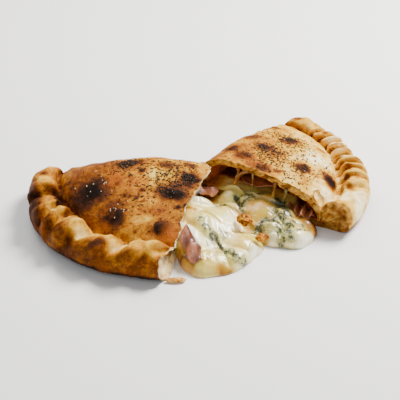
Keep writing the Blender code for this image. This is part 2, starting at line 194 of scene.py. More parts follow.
class Value:
    # a number, colour or vector socket; the operators add Math nodes
    def __init__(self, tree, socket):
        self.tree, self.socket = tree, socket

    def calculate(self, operation, other, swapped=False):
        node = self.tree.nodes.new("ShaderNodeMath")
        node.operation = operation
        for slot, item in zip(node.inputs, (other, self) if swapped else (self, other)):
            if isinstance(item, Value):
                self.tree.links.new(item.socket, slot)
            else:
                slot.default_value = item
        return Value(self.tree, node.outputs[0])

    def __add__(self, other):
        return self.calculate("ADD", other)

    def __radd__(self, other):
        return self.calculate("ADD", other)

    def __sub__(self, other):
        return self.calculate("SUBTRACT", other)

    def __rsub__(self, other):
        return self.calculate("SUBTRACT", other, swapped=True)

    def __mul__(self, other):
        return self.calculate("MULTIPLY", other)

    def __rmul__(self, other):
        return self.calculate("MULTIPLY", other)


class Finish:
    # a material and the few ways in which nodes are added to it
    def __init__(self, name, **constants):
        self.material = bpy.data.materials.new(name)
        self.material.use_nodes = True
        self.tree = self.material.node_tree
        self.shader = self.tree.nodes["Principled BSDF"]
        for title, value in constants.items():
            self.shader.inputs[title.replace("_", " ")].default_value = value
        self.place = self.add("ShaderNodeTexCoord", output="Object")

    def add(self, kind, settings=None, inputs=None, output=0):
        node = self.tree.nodes.new(kind)
        for title, value in (settings or {}).items():
            if title == "stops":
                ramp = node.color_ramp.elements
                while len(ramp) < len(value):
                    ramp.new(0.5)
                for stop, (position, colour) in zip(ramp, value):
                    stop.position, stop.color = position, (*colour, 1)
            else:
                setattr(node, title, value)
        for title, value in (inputs or {}).items():
            if isinstance(value, Value):
                self.tree.links.new(value.socket, node.inputs[title])
            else:
                node.inputs[title].default_value = value
        return Value(self.tree, node.outputs[output])

    def masks(self, title):
        colour = self.add("ShaderNodeAttribute", {"attribute_name": title}, output="Color")
        parts = self.tree.nodes.new("ShaderNodeSeparateColor")
        self.tree.links.new(colour.socket, parts.inputs[0])
        return [Value(self.tree, socket) for socket in parts.outputs]

    def speckle(self, grain, detail=2.0, rough=0.5, stretch=(1, 1, 1), turned=0.0):
        # noise whose lumps are grain millimetres across
        place = self.place
        if stretch != (1, 1, 1) or turned:
            settings = {"Vector": place, "Scale": stretch, "Rotation": (0, 0, turned)}
            place = self.add("ShaderNodeMapping", None, settings)
        inputs = {"Vector": place, "Scale": 1 / (grain * mm), "Detail": detail, "Roughness": rough}
        return self.add("ShaderNodeTexNoise", None, inputs)

    def between(self, value, low, high):
        inputs = {"Value": value, "From Min": low, "From Max": high}
        return self.add("ShaderNodeMapRange", {"interpolation_type": "SMOOTHSTEP"}, inputs)

    def ramp(self, value, stops):
        return self.add("ShaderNodeValToRGB", {"stops": stops}, {"Fac": value})

    def mix(self, factor, first, second, blend="MIX"):
        node = self.tree.nodes.new("ShaderNodeMix")
        node.data_type, node.blend_type = "RGBA", blend
        for slot, item in zip((node.inputs[0], node.inputs[6], node.inputs[7]), (factor, first, second)):
            if isinstance(item, Value):
                self.tree.links.new(item.socket, slot)
            else:
                slot.default_value = (*item, 1) if isinstance(item, tuple) else item
        return Value(self.tree, node.outputs[2])

    def bump(self, height, depth, before=None, strength=1.0):
        inputs = {"Height": height, "Distance": depth * mm, "Strength": strength}
        if before:
            inputs["Normal"] = before
        return self.add("ShaderNodeBump", None, inputs)

    def finish(self, **sockets):
        for title, value in sockets.items():
            self.tree.links.new(value.socket, self.shader.inputs[title.replace("_", " ")])
        return self.material


def tone(red, green, blue):
    # a screen colour, 0 to 255, as light
    return tuple(((c / 255 + 0.055) / 1.055) ** 2.4 if c > 10 else c / 3295 for c in (red, green, blue))


# ---- the dough ----

dough = {
    "ropeSquareness": 0.82,
    "earSwell": 0.16,
    "floor": 5.0,
    "roof": 6.5,
    "seam": 9.0,
    "foldBack": 0.42,
    "ridgeSetback": 30.0,
    "firstTurn": 16.0,  # where the hollow starts
    "ropePoints": 78,
    "roofPoints": 96,
    "foldPoints": 44,
    "bottomPoints": 16,
    "outerRows": 220,
    "rimRows": 14,
    "innerRows": 56,
}

leftHalf = {
    "node": "crust_left",
    "corner": corners("crust_left")[0][:2] + (155.2, 146.7),  # where fold and tear meet
    "foldHeading": 178.0,
    "tearHeading": -102.0,
    "foldLength": 150.0,
    "tearLength": 149.0,
    "flatShoulder": 0.0,
    "ridgeTurns": (0, 14, 30, 48, 68, 90),
    "ridgeHeights": (22.0, 28.0, 38.5, 46.0, 48.0, 44.5),
    "ropeWidth": 28.0,
    "ropeHeight": 25.0,
    "creaseHeight": 17.0,
    "roofPowers": (0.6, 0.8),
    "pleatTurns": (-8, 22, 37, 43, 52, 68, 80, 100),
    "pleatDepth": 0.22,
    "pleated": ((0, 10, 20, 30, 90), (0.1, 0.3, 0.8, 1.0, 1.0)),
    "grooved": (0.15, 0.5),  # where the grooves fade in, round the rope
    "swells": ((38, 2.5, -0.1), (30, 4, 0.06), (88, 5, 0.05)),  # (turn, spread, amount)
    "girth": ((0, 5, 12, 25, 45, 60, 70, 90), (0.08, 0.1, 0.15, 0.23, 0.2, 0.09, 0.0, 0.0)),
    "solidEnd": 13.0,  # how much farther the closed end stands from the rope, at the tear
    "tearReach": (4.5, -1.0, 5.5, 8.0, 16.0, 1.5),  # foot, rope, seam, roof, ridge, fold
    "rimBack": 2.5,
    "pit": np.array((-36.0, -104.0, 12.0)),  # a hole in the torn end of the rope
    "ragged": 1.5,
    "seed": 1,
    "under": 0.62,  # painted shade: how much darker the underside is near the table, and the side of the rope (below 0, painted light)
    "side": 0.12,
    "endShade": 0.0,
    "grooveShade": -0.02,
    "patchy": 1.0,
    # lighter patches: (x, y, along, across, heading, amount)
    "pale": (
        (-99, -83, 9, 8, -40, 0.2), (-91, -76, 8, 5, -30, 0.12), (-69, -92, 9, 5, -10, 0.04),
        (-70, -99, 10, 9, 0, 0.08), (-40, -20, 14, 8, 0, 0.1), (-78, -84, 6, 4, 0, 0.1), (-52, -68, 14, 5, 10, 0.12),
        (-104, -8, 10, 8, 0, 0.06), (-40, -96, 8, 4, 0, 0.1),
    ),
    # browning: (x, y, value), 0 pale to 1 burnt
    "toast": (
        (-143, 8, 0.36), (-142, -10, 0.38), (-141, -34, 0.7), (-148, -45, 0.54), (-130, -52, 0.36), (-122, -62, 0.46),
        (-112, -21, 0.7), (-101, -42, 0.56), (-90, -69, 0.46), (-80, -31, 0.58), (-62, -21, 0.44),
        (-44, -50, 0.41), (-52, -65, 0.46), (-68, -80, 0.42), (-42, -90, 0.38), (-22, -71, 0.5),
        (-13, -43, 0.44), (-20, -15, 0.32), (-38, -30, 0.38), (-60, 5, 0.4), (-100, 0, 0.5), (-119, -71, 0.38),
        (-102, -64, 0.5), (-94, -90, 0.5), (-71, -98, 0.34), (-50, -108, 0.38), (-32, -105, 0.48),
        (0, 10, 0.38), (-60, 22, 0.46), (-120, 20, 0.45),
    ),
    "glow": ((-76, -22, 7, 11, 1.0), (-24, -88, 10, 14, 1.0), (-62, -30, 16, 12, 0.5), (-40, -60, 16, 9, 0.4)),
    # charred blisters, and painted shade in the crease: (x, y, along, across, heading, depth of char, rise)
    "charAndShade": (
        (-94, -35, 10.5, 9, 20, 1.0, 1.6), (-74, -63, 8.5, 8, 30, 0.8, 1.2),
        (-34, -78, 6, 6, 0, 0.82, 1.4), (-24, -42, 11, 6, -14, 0.95, 1.6),
        (-9, -23, 8, 7, -30, 0.95, 1.4), (-65, -2, 11, 6, 12, 0.62, 1.2), (-30, -7, 8, 5, 0, 0.4, 1.0),
        (-7, -5, 7, 4, 0, 0.4, 0.8), (-73, -29, 3, 3, 0, 0.45, 0.8), (-51, -39, 2.6, 2.6, 0, 0.5, 0.6),
        (-51, -15, 2.6, 2.6, 0, 0.5, 0.5), (-66, -44, 1.6, 2, 0, 0.5, 0.3), (-55, -48, 1.6, 1.6, 0, 0.5, 0.3),
        (-19, -56, 2, 2, 0, 0.6, 0.3), (-13, -55, 2, 2, 0, 0.6, 0.3), (-35, -61, 1.5, 1.5, 0, 0.4, 0.2),
        # the spots at (-122, -42) and (-115, -60) are painted shade along the crease between rope and dome
        (-55, -79, 2, 2, 0, 0.3, 0.3), (-122, -42, 17, 5, -62, 0.5, 0.0), (-106, -44, 12, 9, -60, 0.3, 0.4),
        (-115, -60, 9, 4, -50, 0.34, 0.0), (-16, -33, 14, 7, -20, 0.2, 0.0), 
        (-120, -76, 9, 6, -40, 0.26, 0.0), (-84, -101, 7, 5, -20, 0.34, 0.0), (-145, -33, 9, 8, -70, 0.26, 0.0), (-143, 8, 4, 3, 0, 0.3, 0.2),
        (-41, -96, 2.5, 2, 0, 0.5, 0.2), (-34, -95, 2.5, 2, 0, 0.5, 0.2),
    ),
}

rightHalf = {
    "node": "crust_right",
    "corner": corners("crust_right")[1][:2] - (158.2, 104.3),
    "foldHeading": 48.5,
    "tearHeading": -27.5,
    "foldLength": 146.0,
    "tearLength": 150.5,
    "flatShoulder": 0.055,
    "ridgeTurns": (0, 15, 30, 45, 64, 90),
    "ridgeHeights": (25.0, 29.0, 34.0, 39.5, 44.5, 47.0),
    "ropeWidth": 26.0,
    "ropeHeight": 25.0,
    "creaseHeight": 17.0,
    "roofPowers": (0.52, 0.5),
    "pleatTurns": (-8, 17, 23, 29, 34.5, 39.5, 45, 50.5, 56, 62, 69, 78, 104),
    "pleatDepth": 0.15,
    "pleated": ((0, 12, 20, 30, 42, 47, 52, 64, 74, 90), (0.1, 0.4, 0.6, 0.9, 0.95, 0.85, 0.6, 0.5, 0.2, 0.2)),
    "grooved": (0.4, 0.66),
    "swells": ((45.5, 1.8, -0.16), (90, 7, 0.34), (17, 4, -0.06)),
    "girth": ((0, 10, 18, 24, 44, 47.5, 70, 84, 90), (0.1, 0.06, 0.0, -0.06, -0.09, 0.12, 0.11, 0, 0)),
    "solidEnd": 0.0,
    "tearReach": (-2.5, -1.0, 1.5, 1.0, 3.0, -0.5),
    "rimBack": 0.8,
    "pit": np.array((126.0, -42.0, 17.0)),
    "ragged": 1.1,
    "seed": 5,
    "under": 0.4,
    "side": -0.06,
    "endShade": 0.26,
    "grooveShade": 0.42,
    "patchy": 0.5,
    "pale": (
        (118, -20, 18, 14, -60, 0.16), (115, 25, 14, 22, 30, 0.12), (145, -26, 9, 10, 0, 0.18),
        (141, -40, 10, 10, 0, 0.14), (104, -26, 10, 6, -30, 0.14), (84, 22, 12, 8, 20, 0.06), (134, 52, 10, 8, 0, 0.1),
    ),
    "toast": (
        (125, 62, 0.1), (112, 24, 0.06), (99, -13, 0.22), (117, -21, 0.02), (97, 69, 0.16), (67, 65, 0.36),
        (77, 2, 0.32), (90, -9, 0.24), (60, 10, 0.42), (40, 5, 0.42), (60, 40, 0.36), (42, 22, 0.43), (84, 40, 0.34),
        (100, 30, 0.16), (98, 82, 0.36), (100, 109, 0.32), (117, 91, 0.4), (139, 54, 0.16), (139, 28, 0.46),
        (138, 12, 0.42), (134, -8, 0.4), (152, 20, 0.26), (152, -2, 0.2), (133, -22, 0.2), (140, -40, 0.02),
        (119, -42, 0.5), (127, -52, 0.46), (104, -24, 0.06), (92, -17, 0.22), (20, 15, 0.44), (50, 80, 0.4),
    ),
    "glow": ((55, -2, 14, 6, 0.6), (85, -8, 12, 8, 0.3), (40, 6, 14, 8, 0.4), (70, 10, 10, 8, 0.3)),
    "charAndShade": (
        (85, 49, 10, 7.5, 10, 0.6, 1.8), (61, 29, 9, 6, 0, 0.48, 1.4), (56, -5, 7, 4, -10, 0.85, 0.9),
        (41, 12, 7, 4, 10, 0.7, 0.8), (94, 3, 7.5, 7.5, 0, 0.92, 1.7), (119, -4, 7, 10, 20, 0.88, 1.7),
        (116, 47, 7, 6, 0, 0.36, 0.8), (92, -17, 9, 8, -30, 0.08, 0.0), (107, 29, 1.8, 2.0, 0, 0.7, 0.2),
        (97, 112, 6, 4, -20, 0.3, 0.4), (123, 87, 4, 3, 0, 0.3, 0.3), (145, 3, 3.5, 3, 0, 0.4, -0.8),
        (70, -8, 4, 3, 0, 0.35, 0.4), (74, 74, 6, 4, 0, 0.35, 0.4), (52, 44, 9, 6, 40, 0.3, 0.4), (30, 22, 7, 5, 20, 0.4, 0.4),
        (44, 48, 44, 24, 48, 0.0, 5.2), (72, 78, 26, 18, 48, 0.0, 5.0), (74, 22, 10, 7, 0, 0.15, 0.4), (136, -12, 9, 4, -60, 0.36, -0.6), (138, 24, 9, 4, -80, 0.34, -0.5), (135, 6, 9, 4, -90, 0.38, -0.6),
    ),
}


def planOfSections(half, turn):
    # where each upright section leaves the fold, and where it ends outside the rope
    out, across = unit(half["foldHeading"]), unit(half["tearHeading"])
    reach = half["foldLength"] - half["ropeWidth"]
    start = half["corner"] + np.outer(reach * (1 - turn / 90), out)
    angle = np.radians(turn)
    size = 1 - half["flatShoulder"] * np.sin(2 * angle) ** 2
    end = half["corner"] + np.outer(half["foldLength"] * np.cos(angle) * size, out)
    return start, end + np.outer(half["tearLength"] * np.sin(angle) * size, across)


def alongSections(half, turn):
    start, end = planOfSections(half, turn)
    length = np.linalg.norm(end - start, axis=1)[:, None]
    return start, (end - start) / length, length


def setbackOf(half, turn, crease):
    # from the fold to the top of the dome, square to the fold
    along = alongSections(half, turn)[1]
    out = unit(half["foldHeading"])
    slant = np.abs(along[:, 0] * out[1] - along[:, 1] * out[0])[:, None]
    return np.minimum(dough["ridgeSetback"] / slant, 0.5 * crease)


def ridgeOf(half, turn):
    return batten(turn, half["ridgeTurns"], half["ridgeHeights"])[:, None]


def pleatPhase(half, turn):
    return np.interp(turn, half["pleatTurns"], np.arange(len(half["pleatTurns"])))[:, None]


def pleatShare(half, turn):
    # how strongly the rope is pleated, from its closed end to the tear
    return np.interp(turn, half["pleated"][0], half["pleated"][1])[:, None]


def pleatWave(phase):
    # a rounded saw-tooth from -1 to 1: each pleat swells slowly and tucks in fast
    share = np.mod(phase, 1.0)
    swell = np.where(share < 0.78, share / 0.78, (1 - share) / 0.22)
    return 2 * np.sin(np.pi / 2 * swell) ** 1.2 - 1


def signedPower(x, power):
    return np.sign(x) * np.abs(x) ** power


def roofRise(t, half, turn):
    # from the crease (0) to the ridge (1): (1 - (1 - t)^1.5)^power, plumper at the tear
    low, high = half["roofPowers"]
    power = (low + (high - low) * (turn / 90) ** 3)[:, None]
    return (1 - (1 - t) ** 1.5) ** power


def foldRound(setback, ridge, back, floor):
    # a half round from the ridge over the fold, tucked in below the widest place
    bulge = dough["foldBack"] * ridge
    angle = np.radians(np.linspace(90, -90, dough["foldPoints"] + 1))[None, 1:]
    upper = np.sin(angle) >= -1e-9
    reach = np.where(upper, setback - back, (setback - back) * 0.45)
    middle = np.where(upper, setback, back + (setback - back) * 0.45)
    rise = np.where(upper, ridge - bulge, bulge - floor)
    return middle - reach * np.cos(angle), bulge + rise * np.sin(angle)


def outerSections(half, turn):
    # rope from its underside over its top, the roof up to the ridge, the fold, the underside
    length = alongSections(half, turn)[2]
    ridge, width = ridgeOf(half, turn), half["ropeWidth"]
    middle = length - width / 2
    around = np.radians(np.linspace(-90, 164, dough["ropePoints"]))[None, :]
    ear = dough["earSwell"] * np.exp(-((turn[:, None] / 10) ** 2))
    wave = pleatWave(pleatPhase(half, turn) - 0.22 * around)
    high = (1 + signedPower(np.sin(around), dough["ropeSquareness"])) / 2
    folded = pleatShare(half, turn)
    local = sum(amount * np.exp(-(((turn - at) / spread) ** 2)) for at, spread, amount in half["swells"])
    girth = np.interp(turn, *half["girth"])[:, None]
    swell = 1 + ear + girth + half["pleatDepth"] * folded * (wave * (0.06 + 0.94 * high**2) + 0.25)
    swell = swell + local[:, None] * high**2
    ropeQ = middle + width / 2 * signedPower(np.cos(around), dough["ropeSquareness"]) * swell
    ropeZ = half["ropeHeight"] * high * (1 + (swell - 1) * high)

    crease, creaseZ = ropeQ[:, -1:], ropeZ[:, -1:]
    setback = setbackOf(half, turn, crease)
    t = (np.linspace(0, 1, dough["roofPoints"] + 1)[None, 1:]) ** 1.25
    roofQ = crease + (setback - crease) * t
    roofZ = creaseZ + (ridge - creaseZ) * roofRise(t, half, turn)

    foldQ, foldZ = foldRound(setback, ridge, 0.0, 0.0)
    foot = foldQ[:, -1:]
    share = np.linspace(0, 1, dough["bottomPoints"] + 2)[None, 1:-1]
    bottomQ = foot + (ropeQ[:, :1] - foot) * share
    q = np.hstack([ropeQ, roofQ, foldQ, bottomQ])
    z = np.hstack([ropeZ, roofZ, foldZ, np.zeros_like(bottomQ)])
    t = np.clip(turn / 9.0, 0, 1)[:, None]
    size = np.sqrt(1 - (1 - t) ** 2)
    return middle + (q - middle) * size, z * (0.35 + 0.65 * size)


def innerSections(half, turn, roof=None):
    # the wall of the hollow: a rounded front at the rope, then as the outside, a wall thinner
    roof = dough["roof"] if roof is None else roof
    length = alongSections(half, turn)[2]
    ridge, floor = ridgeOf(half, turn), dough["floor"]
    front = length - half["ropeWidth"] - 4.0
    front = front - half["solidEnd"] * np.clip((turn[:, None] - 60) / 30, 0, 1) ** 2
    seam = half["creaseHeight"] - dough["seam"]
    around = np.radians(np.linspace(-90, 90, dough["ropePoints"]))[None, :]
    frontQ = front + 6.0 * np.cos(around)
    frontZ = (seam + floor) / 2 + (seam - floor) / 2 * np.sin(around) + np.zeros_like(frontQ)
    setback = setbackOf(half, turn, front)
    t = (np.linspace(0, 1, dough["roofPoints"] + 1)[None, 1:]) ** 1.25
    roofQ = front + (setback - front) * t
    roofZ = seam + (ridge - roof - seam) * roofRise(t, half, turn)
    foldQ, foldZ = foldRound(setback, ridge - roof, dough["roof"], floor)
    foot = foldQ[:, -1:]
    share = np.linspace(0, 1, dough["bottomPoints"] + 2)[None, 1:-1]
    bottomQ = foot + (front - foot) * share
    q = np.hstack([frontQ, roofQ, foldQ, bottomQ])
    z = np.hstack([frontZ, roofZ, foldZ, np.full_like(bottomQ, floor)])
    t = np.clip((turn - dough["firstTurn"]) / 12.0, 0, 1)[:, None]
    shrink = 0.25 + 0.75 * np.sqrt(1 - (1 - t) ** 2)
    middleQ, middleZ = q.mean(axis=1, keepdims=True), z.mean(axis=1, keepdims=True)
    return middleQ + (q - middleQ) * shrink, middleZ + (z - middleZ) * shrink


def tearReach(half):
    # how far the torn edge stands past the tear line, round the section
    foot, rope, seam, roof, ridge, fold = half["tearReach"]
    ropePart = np.interp(np.linspace(0, 1, dough["ropePoints"]), (0, 0.2, 0.5, 0.8, 1), (foot, rope, rope, seam * 0.6, seam))
    roofPart = np.interp(np.linspace(0, 1, dough["roofPoints"]), (0, 0.5, 1), (seam, roof, ridge))
    foldPart = np.interp(np.linspace(0, 1, dough["foldPoints"]), (0, 0.35, 0.7, 1), (ridge, fold, 0, 0))
    bottomPart = np.linspace(0, 1, dough["bottomPoints"]) ** 3 * foot
    return np.concatenate([ropePart, roofPart, foldPart, bottomPart])


def outwardOf(half):
    # square to the tear, away from the dough
    out, across = unit(half["foldHeading"]), unit(half["tearHeading"])
    outward = -(out - across * (out @ across))
    return outward / np.linalg.norm(outward)


def placeSections(half, turn, q, z, reach):
    start, along, length = alongSections(half, turn)
    xy = start[:, None, :] + along[:, None, :] * q[:, :, None]
    near = np.clip((turn - 62) / 28, 0, 1)[:, None] ** 1.6
    xy = xy + outwardOf(half) * (near * reach[None, :])[:, :, None]
    return np.concatenate([xy, z[:, :, None]], axis=2)


def zonesAround():
    # 1 on the rope, the roof and the fold, each with its share along it
    counts = [dough[key] for key in ("ropePoints", "roofPoints", "foldPoints", "bottomPoints")]
    number = np.repeat(np.arange(4), counts)
    share = np.concatenate([np.linspace(0, 1, count) for count in counts])
    return number, share


def spotDistance(rings, spot, rows):
    # distance from a spot in spot sizes, measured over the surface below the spot's plan place
    x, y, along, across, heading = spot[:5]
    top = rings[:rows]
    gap = (top[..., 0] - x) ** 2 + (top[..., 1] - y) ** 2 + np.where(top[..., 2] > 12, 0, 1e6)
    centre = top.reshape(-1, 3)[gap.argmin()]
    offset = rings - centre
    c, s = unit(heading)
    forward, side = offset[..., 0] * c + offset[..., 1] * s, offset[..., 1] * c - offset[..., 0] * s
    return np.sqrt((forward / along) ** 2 + (side**2 + offset[..., 2] ** 2) / across**2)


def doughHalf(half):
    seed, rows = half["seed"], dough["outerRows"]
    zone, share = zonesAround()
    reach = tearReach(half)
    turn = np.linspace(0.6, 90, rows)
    outside = placeSections(half, turn, *outerSections(half, turn), reach)
    innerTurn = np.linspace(90, dough["firstTurn"], dough["innerRows"])
    backed = np.where(zone == 3, 0, half["rimBack"])
    inside = placeSections(half, innerTurn, *innerSections(half, innerTurn), reach - backed)

    # the torn edge wanders, least at the table
    edge = outside[-1]
    wander = fractal(edge, 16, seed, 2) * 2.2 + fractal(edge, 5.5, seed + 3, 3) * 1.6
    wander = wander * half["ragged"] * np.where(zone == 3, 0, 1) * smoothStep(0, 8, edge[:, 2])
    outward = np.append(outwardOf(half), 0)
    pull = np.clip((turn - 80) / 10, 0, 1)[:, None, None] ** 2
    outside = outside + pull * wander[None, :, None] * outward
    pull = np.clip((innerTurn - 80) / 10, 0, 1)[:, None, None] ** 2
    inside = inside + pull * (wander - 0.6)[None, :, None] * outward

    # the rim between them, rough like torn crumb
    t = np.linspace(0, 1, dough["rimRows"] + 2)[1:-1, None, None]
    rim = outside[-1] + (inside[0] - outside[-1]) * t
    holes = smoothStep(0.15, 0.5, noise(rim, 3.2, seed + 2)) + 0.6 * smoothStep(0.2, 0.5, noise(rim, 1.7, seed))
    bulge = 0.3 * np.sin(np.pi * t[..., 0]) + 0.7 * fractal(rim, 3.5, seed, 3) - 1.3 * holes
    bulge = bulge * smoothStep(0, 6, rim[..., 2])
    pit = (rim[..., :2] - half["pit"][:2]) ** 2
    bulge = bulge - 5 * np.exp(-pit.sum(axis=-1) / 16 - ((rim[..., 2] - half["pit"][2]) / 4) ** 2)
    rim = rim + bulge[..., None] * outward

    rings = np.concatenate([outside, rim, inside])
    count = len(rings)
    row = np.arange(count)
    isOutside = (row < rows)[:, None]
    isRim = ((row >= rows) & (row < rows + dough["rimRows"]))[:, None]
    isInside = (row >= rows + dough["rimRows"])[:, None]
    normals = normalsOf(rings)
    normals[rows - 1 : rows + dough["rimRows"] + 1] = outward
    normals[rows + dough["rimRows"] :] *= -1 if (normals[-5, 100] @ (rings[-5, 100] - rings[-5].mean(axis=0))) > 0 else 1

    # lumps of the dough, the crease along the rope, and the grooves between pleats
    base = rings.copy()
    lift = 0.9 * fractal(base, 22, seed, 2) + 0.5 * fractal(base, 8, seed + 4, 3)
    lift += 0.22 * fractal(base, 2.6, seed + 6, 2)
    onRope, onRoof, onFold = (zone == 0)[None, :], (zone == 1)[None, :], (zone == 2)[None, :]
    allTurns = np.concatenate([turn, np.full(dough["rimRows"], 90.0), innerTurn])
    around = np.radians(np.linspace(-90, 164, dough["ropePoints"]))
    aroundAll = np.zeros(len(zone))
    aroundAll[: dough["ropePoints"]] = around
    phase = pleatPhase(half, allTurns) - 0.22 * aroundAll[None, :] + 0.05 * noise(base, 9, seed)
    fromGroove = np.abs(np.mod(phase + 0.5, 1.0) - 0.5)
    folded = pleatShare(half, allTurns)
    groove = np.exp(-((fromGroove / 0.055) ** 2)) * onRope * folded
    groove = groove * smoothStep(*half["grooved"], share)[None, :]
    creaseDistance = np.where(onRope, (1 - share) * 30, np.where(onRoof, share * 62, 99))
    crease = np.exp(-((creaseDistance / 4.0) ** 2))
    wrinkle = np.sin(phase * 2 * np.pi * 2.6 + 4 * noise(base, 11, seed + 1)) * onRope * (0.35 + 0.65 * folded)
    wrinkle = wrinkle * smoothStep(0.2, 0.6, share)[None, :]
    rib = noise(base * np.array([1.0, 0.35, 1.0]), 3.0, seed + 7) * onRoof * np.exp(-((creaseDistance / 30) ** 2))
    pucker = np.clip(noise(base, 6.5, seed + 8), -0.3, 1) * onRope * smoothStep(0.25, 0.6, share)[None, :]
    surface = lift - 0.7 - 2.2 * groove - (1.8 + 1.0 * smoothStep(34, 16, allTurns)[:, None]) * crease + 0.7 * wrinkle + 0.35 * rib + 1.3 * pucker

    charAndShade = np.zeros(base.shape[:2])
    halo = np.zeros(base.shape[:2])
    for spot in half["charAndShade"]:
        distance = spotDistance(base, spot, rows) + 0.22 * fractal(base, 5, seed + 2, 3)
        charAndShade = np.maximum(charAndShade, spot[5] * smoothStep(1.25, 0.35, distance))
        halo = np.maximum(halo, spot[5] * smoothStep(2.3, 0.8, distance))
        surface += spot[6] * smoothStep(1.3, 0.0, distance)
    pale = np.zeros(base.shape[:2])
    for spot in half["pale"]:
        distance = spotDistance(base, spot, rows) + 0.25 * fractal(base, 5, seed + 6, 3)
        pale = np.maximum(pale, spot[5] * smoothStep(1.5, 0.2, distance))
    glow = 0.45 * smoothStep(0.05, 0.6, fractal(base, 13, seed + 7, 3)) * half["patchy"]
    for spot in half["glow"]:
        distance = spotDistance(base, (*spot[:4], 0), rows) + 0.2 * fractal(base, 6, seed + 5, 3)
        glow = np.maximum(glow, spot[4] * smoothStep(1.5, 0.2, distance))

    keep = np.where(isOutside, smoothStep(0.0, 1.5, base[..., 2]), 0.0)
    keep = keep * np.where(zone == 3, 0, 1)[None, :]
    keep[rows - 1] *= 0.6
    innerLift = 0.8 * fractal(base, 9, seed + 1, 3)
    lifted = base + normals * (surface * keep + np.where(isInside, innerLift, 0))[..., None]
    lifted = insideBox(lifted)

    # browning
    toast = blendedValue(base, half["toast"], 16)
    height = base[..., 2]
    # painted shade: the rope, the fold and the underside darken towards the table
    under = smoothStep(11, 1, height) * (onRope | onFold | (zone == 3)[None, :])
    # painted shade on the rope's side below its crest; where the side value is below 0 it is painted light
    side = smoothStep(0.72, 0.5, share)[None, :] * onRope * smoothStep(3, 14, allTurns)[:, None]
    toast = toast + half["under"] * under + half["side"] * side + 0.14 * fractal(base, 10, seed + 3, 3)
    # painted shade in the grooves between pleats; puckers and wrinkle tops get a little painted light
    toast = toast + 0.07 * fractal(base, 3.2, seed + 5, 2) + half["grooveShade"] * groove - 0.05 * pucker - 0.03 * wrinkle
    # a painted highlight along the crest of the rope
    crestHighlight = np.exp(-(((share - 0.74) / 0.09) ** 2))[None, :] * onRope
    toast = toast - 0.14 * crestHighlight * (0.4 + 0.6 * folded)
    speckles = smoothStep(0.42, 0.7, noise(base, 2.6, seed + 9)) * smoothStep(-0.1, 0.3, noise(base, 17, seed))
    toast = toast + 0.2 * speckles * onRoof
    toast = toast - pale
    toast = toast + (1 - toast) * np.clip(charAndShade, 0, 1) + 0.2 * halo * (1 - charAndShade)
    depth = np.clip((row - rows + 1) / dough["rimRows"], 0, 1)[:, None]
    # painted shade on the torn end of the rope
    toast = toast + half["endShade"] * isRim * onRope * smoothStep(0, 0.3, depth) * (1 + 0.5 * fractal(base, 6, seed, 3))
    # painted shade in the crease between rope and dome, towards the closed end
    toast = toast + 0.16 * crease * smoothStep(34, 16, allTurns)[:, None] * isOutside
    flour = smoothStep(0.25, 0.6, fractal(base, 4, seed + 8, 3)) * smoothStep(0.4, 0.2, toast)
    bake = np.stack([np.clip(toast, 0, 1), glow + 0 * toast, flour], axis=-1)
    crumb = np.where(isRim, 1.0, 0.0) + 0 * toast
    crumb[rows - 1] = 0.7
    kind = np.stack([crumb, np.where(isInside, 1.0, 0.0) + 0 * toast, holesOver(crumb, rows, holes)], axis=-1)
    return lifted, {"bake": bake, "kind": kind}


def holesOver(crumb, rows, holes):
    # the holes of the torn crumb, on the rows of the rim
    spread = np.zeros_like(crumb)
    spread[rows : rows + len(holes)] = np.clip(holes, 0, 1)
    return spread


bakeRamp = (
    (0.0, tone(252, 238, 200)),
    (0.13, tone(234, 198, 112)),
    (0.28, tone(208, 158, 46)),
    (0.4, tone(174, 112, 10)),
    (0.52, tone(124, 66, 6)),
    (0.64, tone(74, 33, 4)),
    (0.78, tone(38, 18, 6)),
    (1.0, tone(17, 9, 6)),
)


def doughFinish(name, inner, crumbTones, crumbBrown):
    finish = Finish(name, Specular_IOR_Level=0.09, Subsurface_Weight=0.05, Subsurface_Scale=0.0015)
    toast, glow, flour = finish.masks("bake")
    crumb, inside, hole = finish.masks("kind")
    fine = finish.speckle(1.4, 3, 0.6)
    middle = finish.speckle(5.0, 3, 0.55)
    level = toast + (fine - 0.5) * 0.3 + (middle - 0.5) * 0.24
    colour = finish.ramp(level, bakeRamp)
    colour = finish.mix(glow * 0.75, colour, tone(160, 78, 0))
    colour = finish.mix(flour * finish.between(fine, 0.4, 0.62) * 0.55, colour, tone(240, 222, 180))
    torn = finish.mix(finish.between(middle, 0.3, 0.7), *crumbTones[:2])
    torn = finish.mix(hole * 0.8, torn, crumbTones[2])
    torn = finish.mix(finish.between(toast, 0.3, 0.55) * crumbBrown, torn, tone(96, 44, 12))
    colour = finish.mix(crumb, colour, torn)
    stained = finish.mix(finish.between(middle, 0.35, 0.7), *inner)
    stained = finish.mix(finish.between(toast, 0.5, 0.8) * 0.85, stained, tone(60, 24, 8))
    colour = finish.mix(inside, colour, stained)
    rough = 0.6 + (middle - 0.5) * 0.3 - inside * 0.25 + finish.between(toast, 0.6, 0.9) * 0.3
    height = finish.speckle(0.9, 2, 0.6) * 0.5 + fine
    normal = finish.bump(height, 0.6)
    return finish.finish(Base_Color=colour, Roughness=rough, Normal=normal)


goldenDough = doughFinish(
    "golden_dough", (tone(120, 52, 20), tone(62, 26, 10)),
    (tone(254, 240, 196), tone(246, 214, 140), tone(186, 130, 60)), 0.25,
)
paleDough = doughFinish(
    "pale_dough", (tone(238, 134, 64), tone(196, 98, 44)),
    (tone(230, 178, 80), tone(196, 130, 42), tone(104, 52, 14)), 0.62,
)
domes = {}
for half, finish in ((leftHalf, goldenDough), (rightHalf, paleDough)):
    rings, masks = doughHalf(half)
    addPiece(half["node"] + "_baked", ringMesh(half["node"], rings, masks), finish, half["node"])
    domes[half["node"]] = rings[: dough["outerRows"] - 2]
    print("baked", half["node"], len(rings), "rings")


# ---- the cheese ----

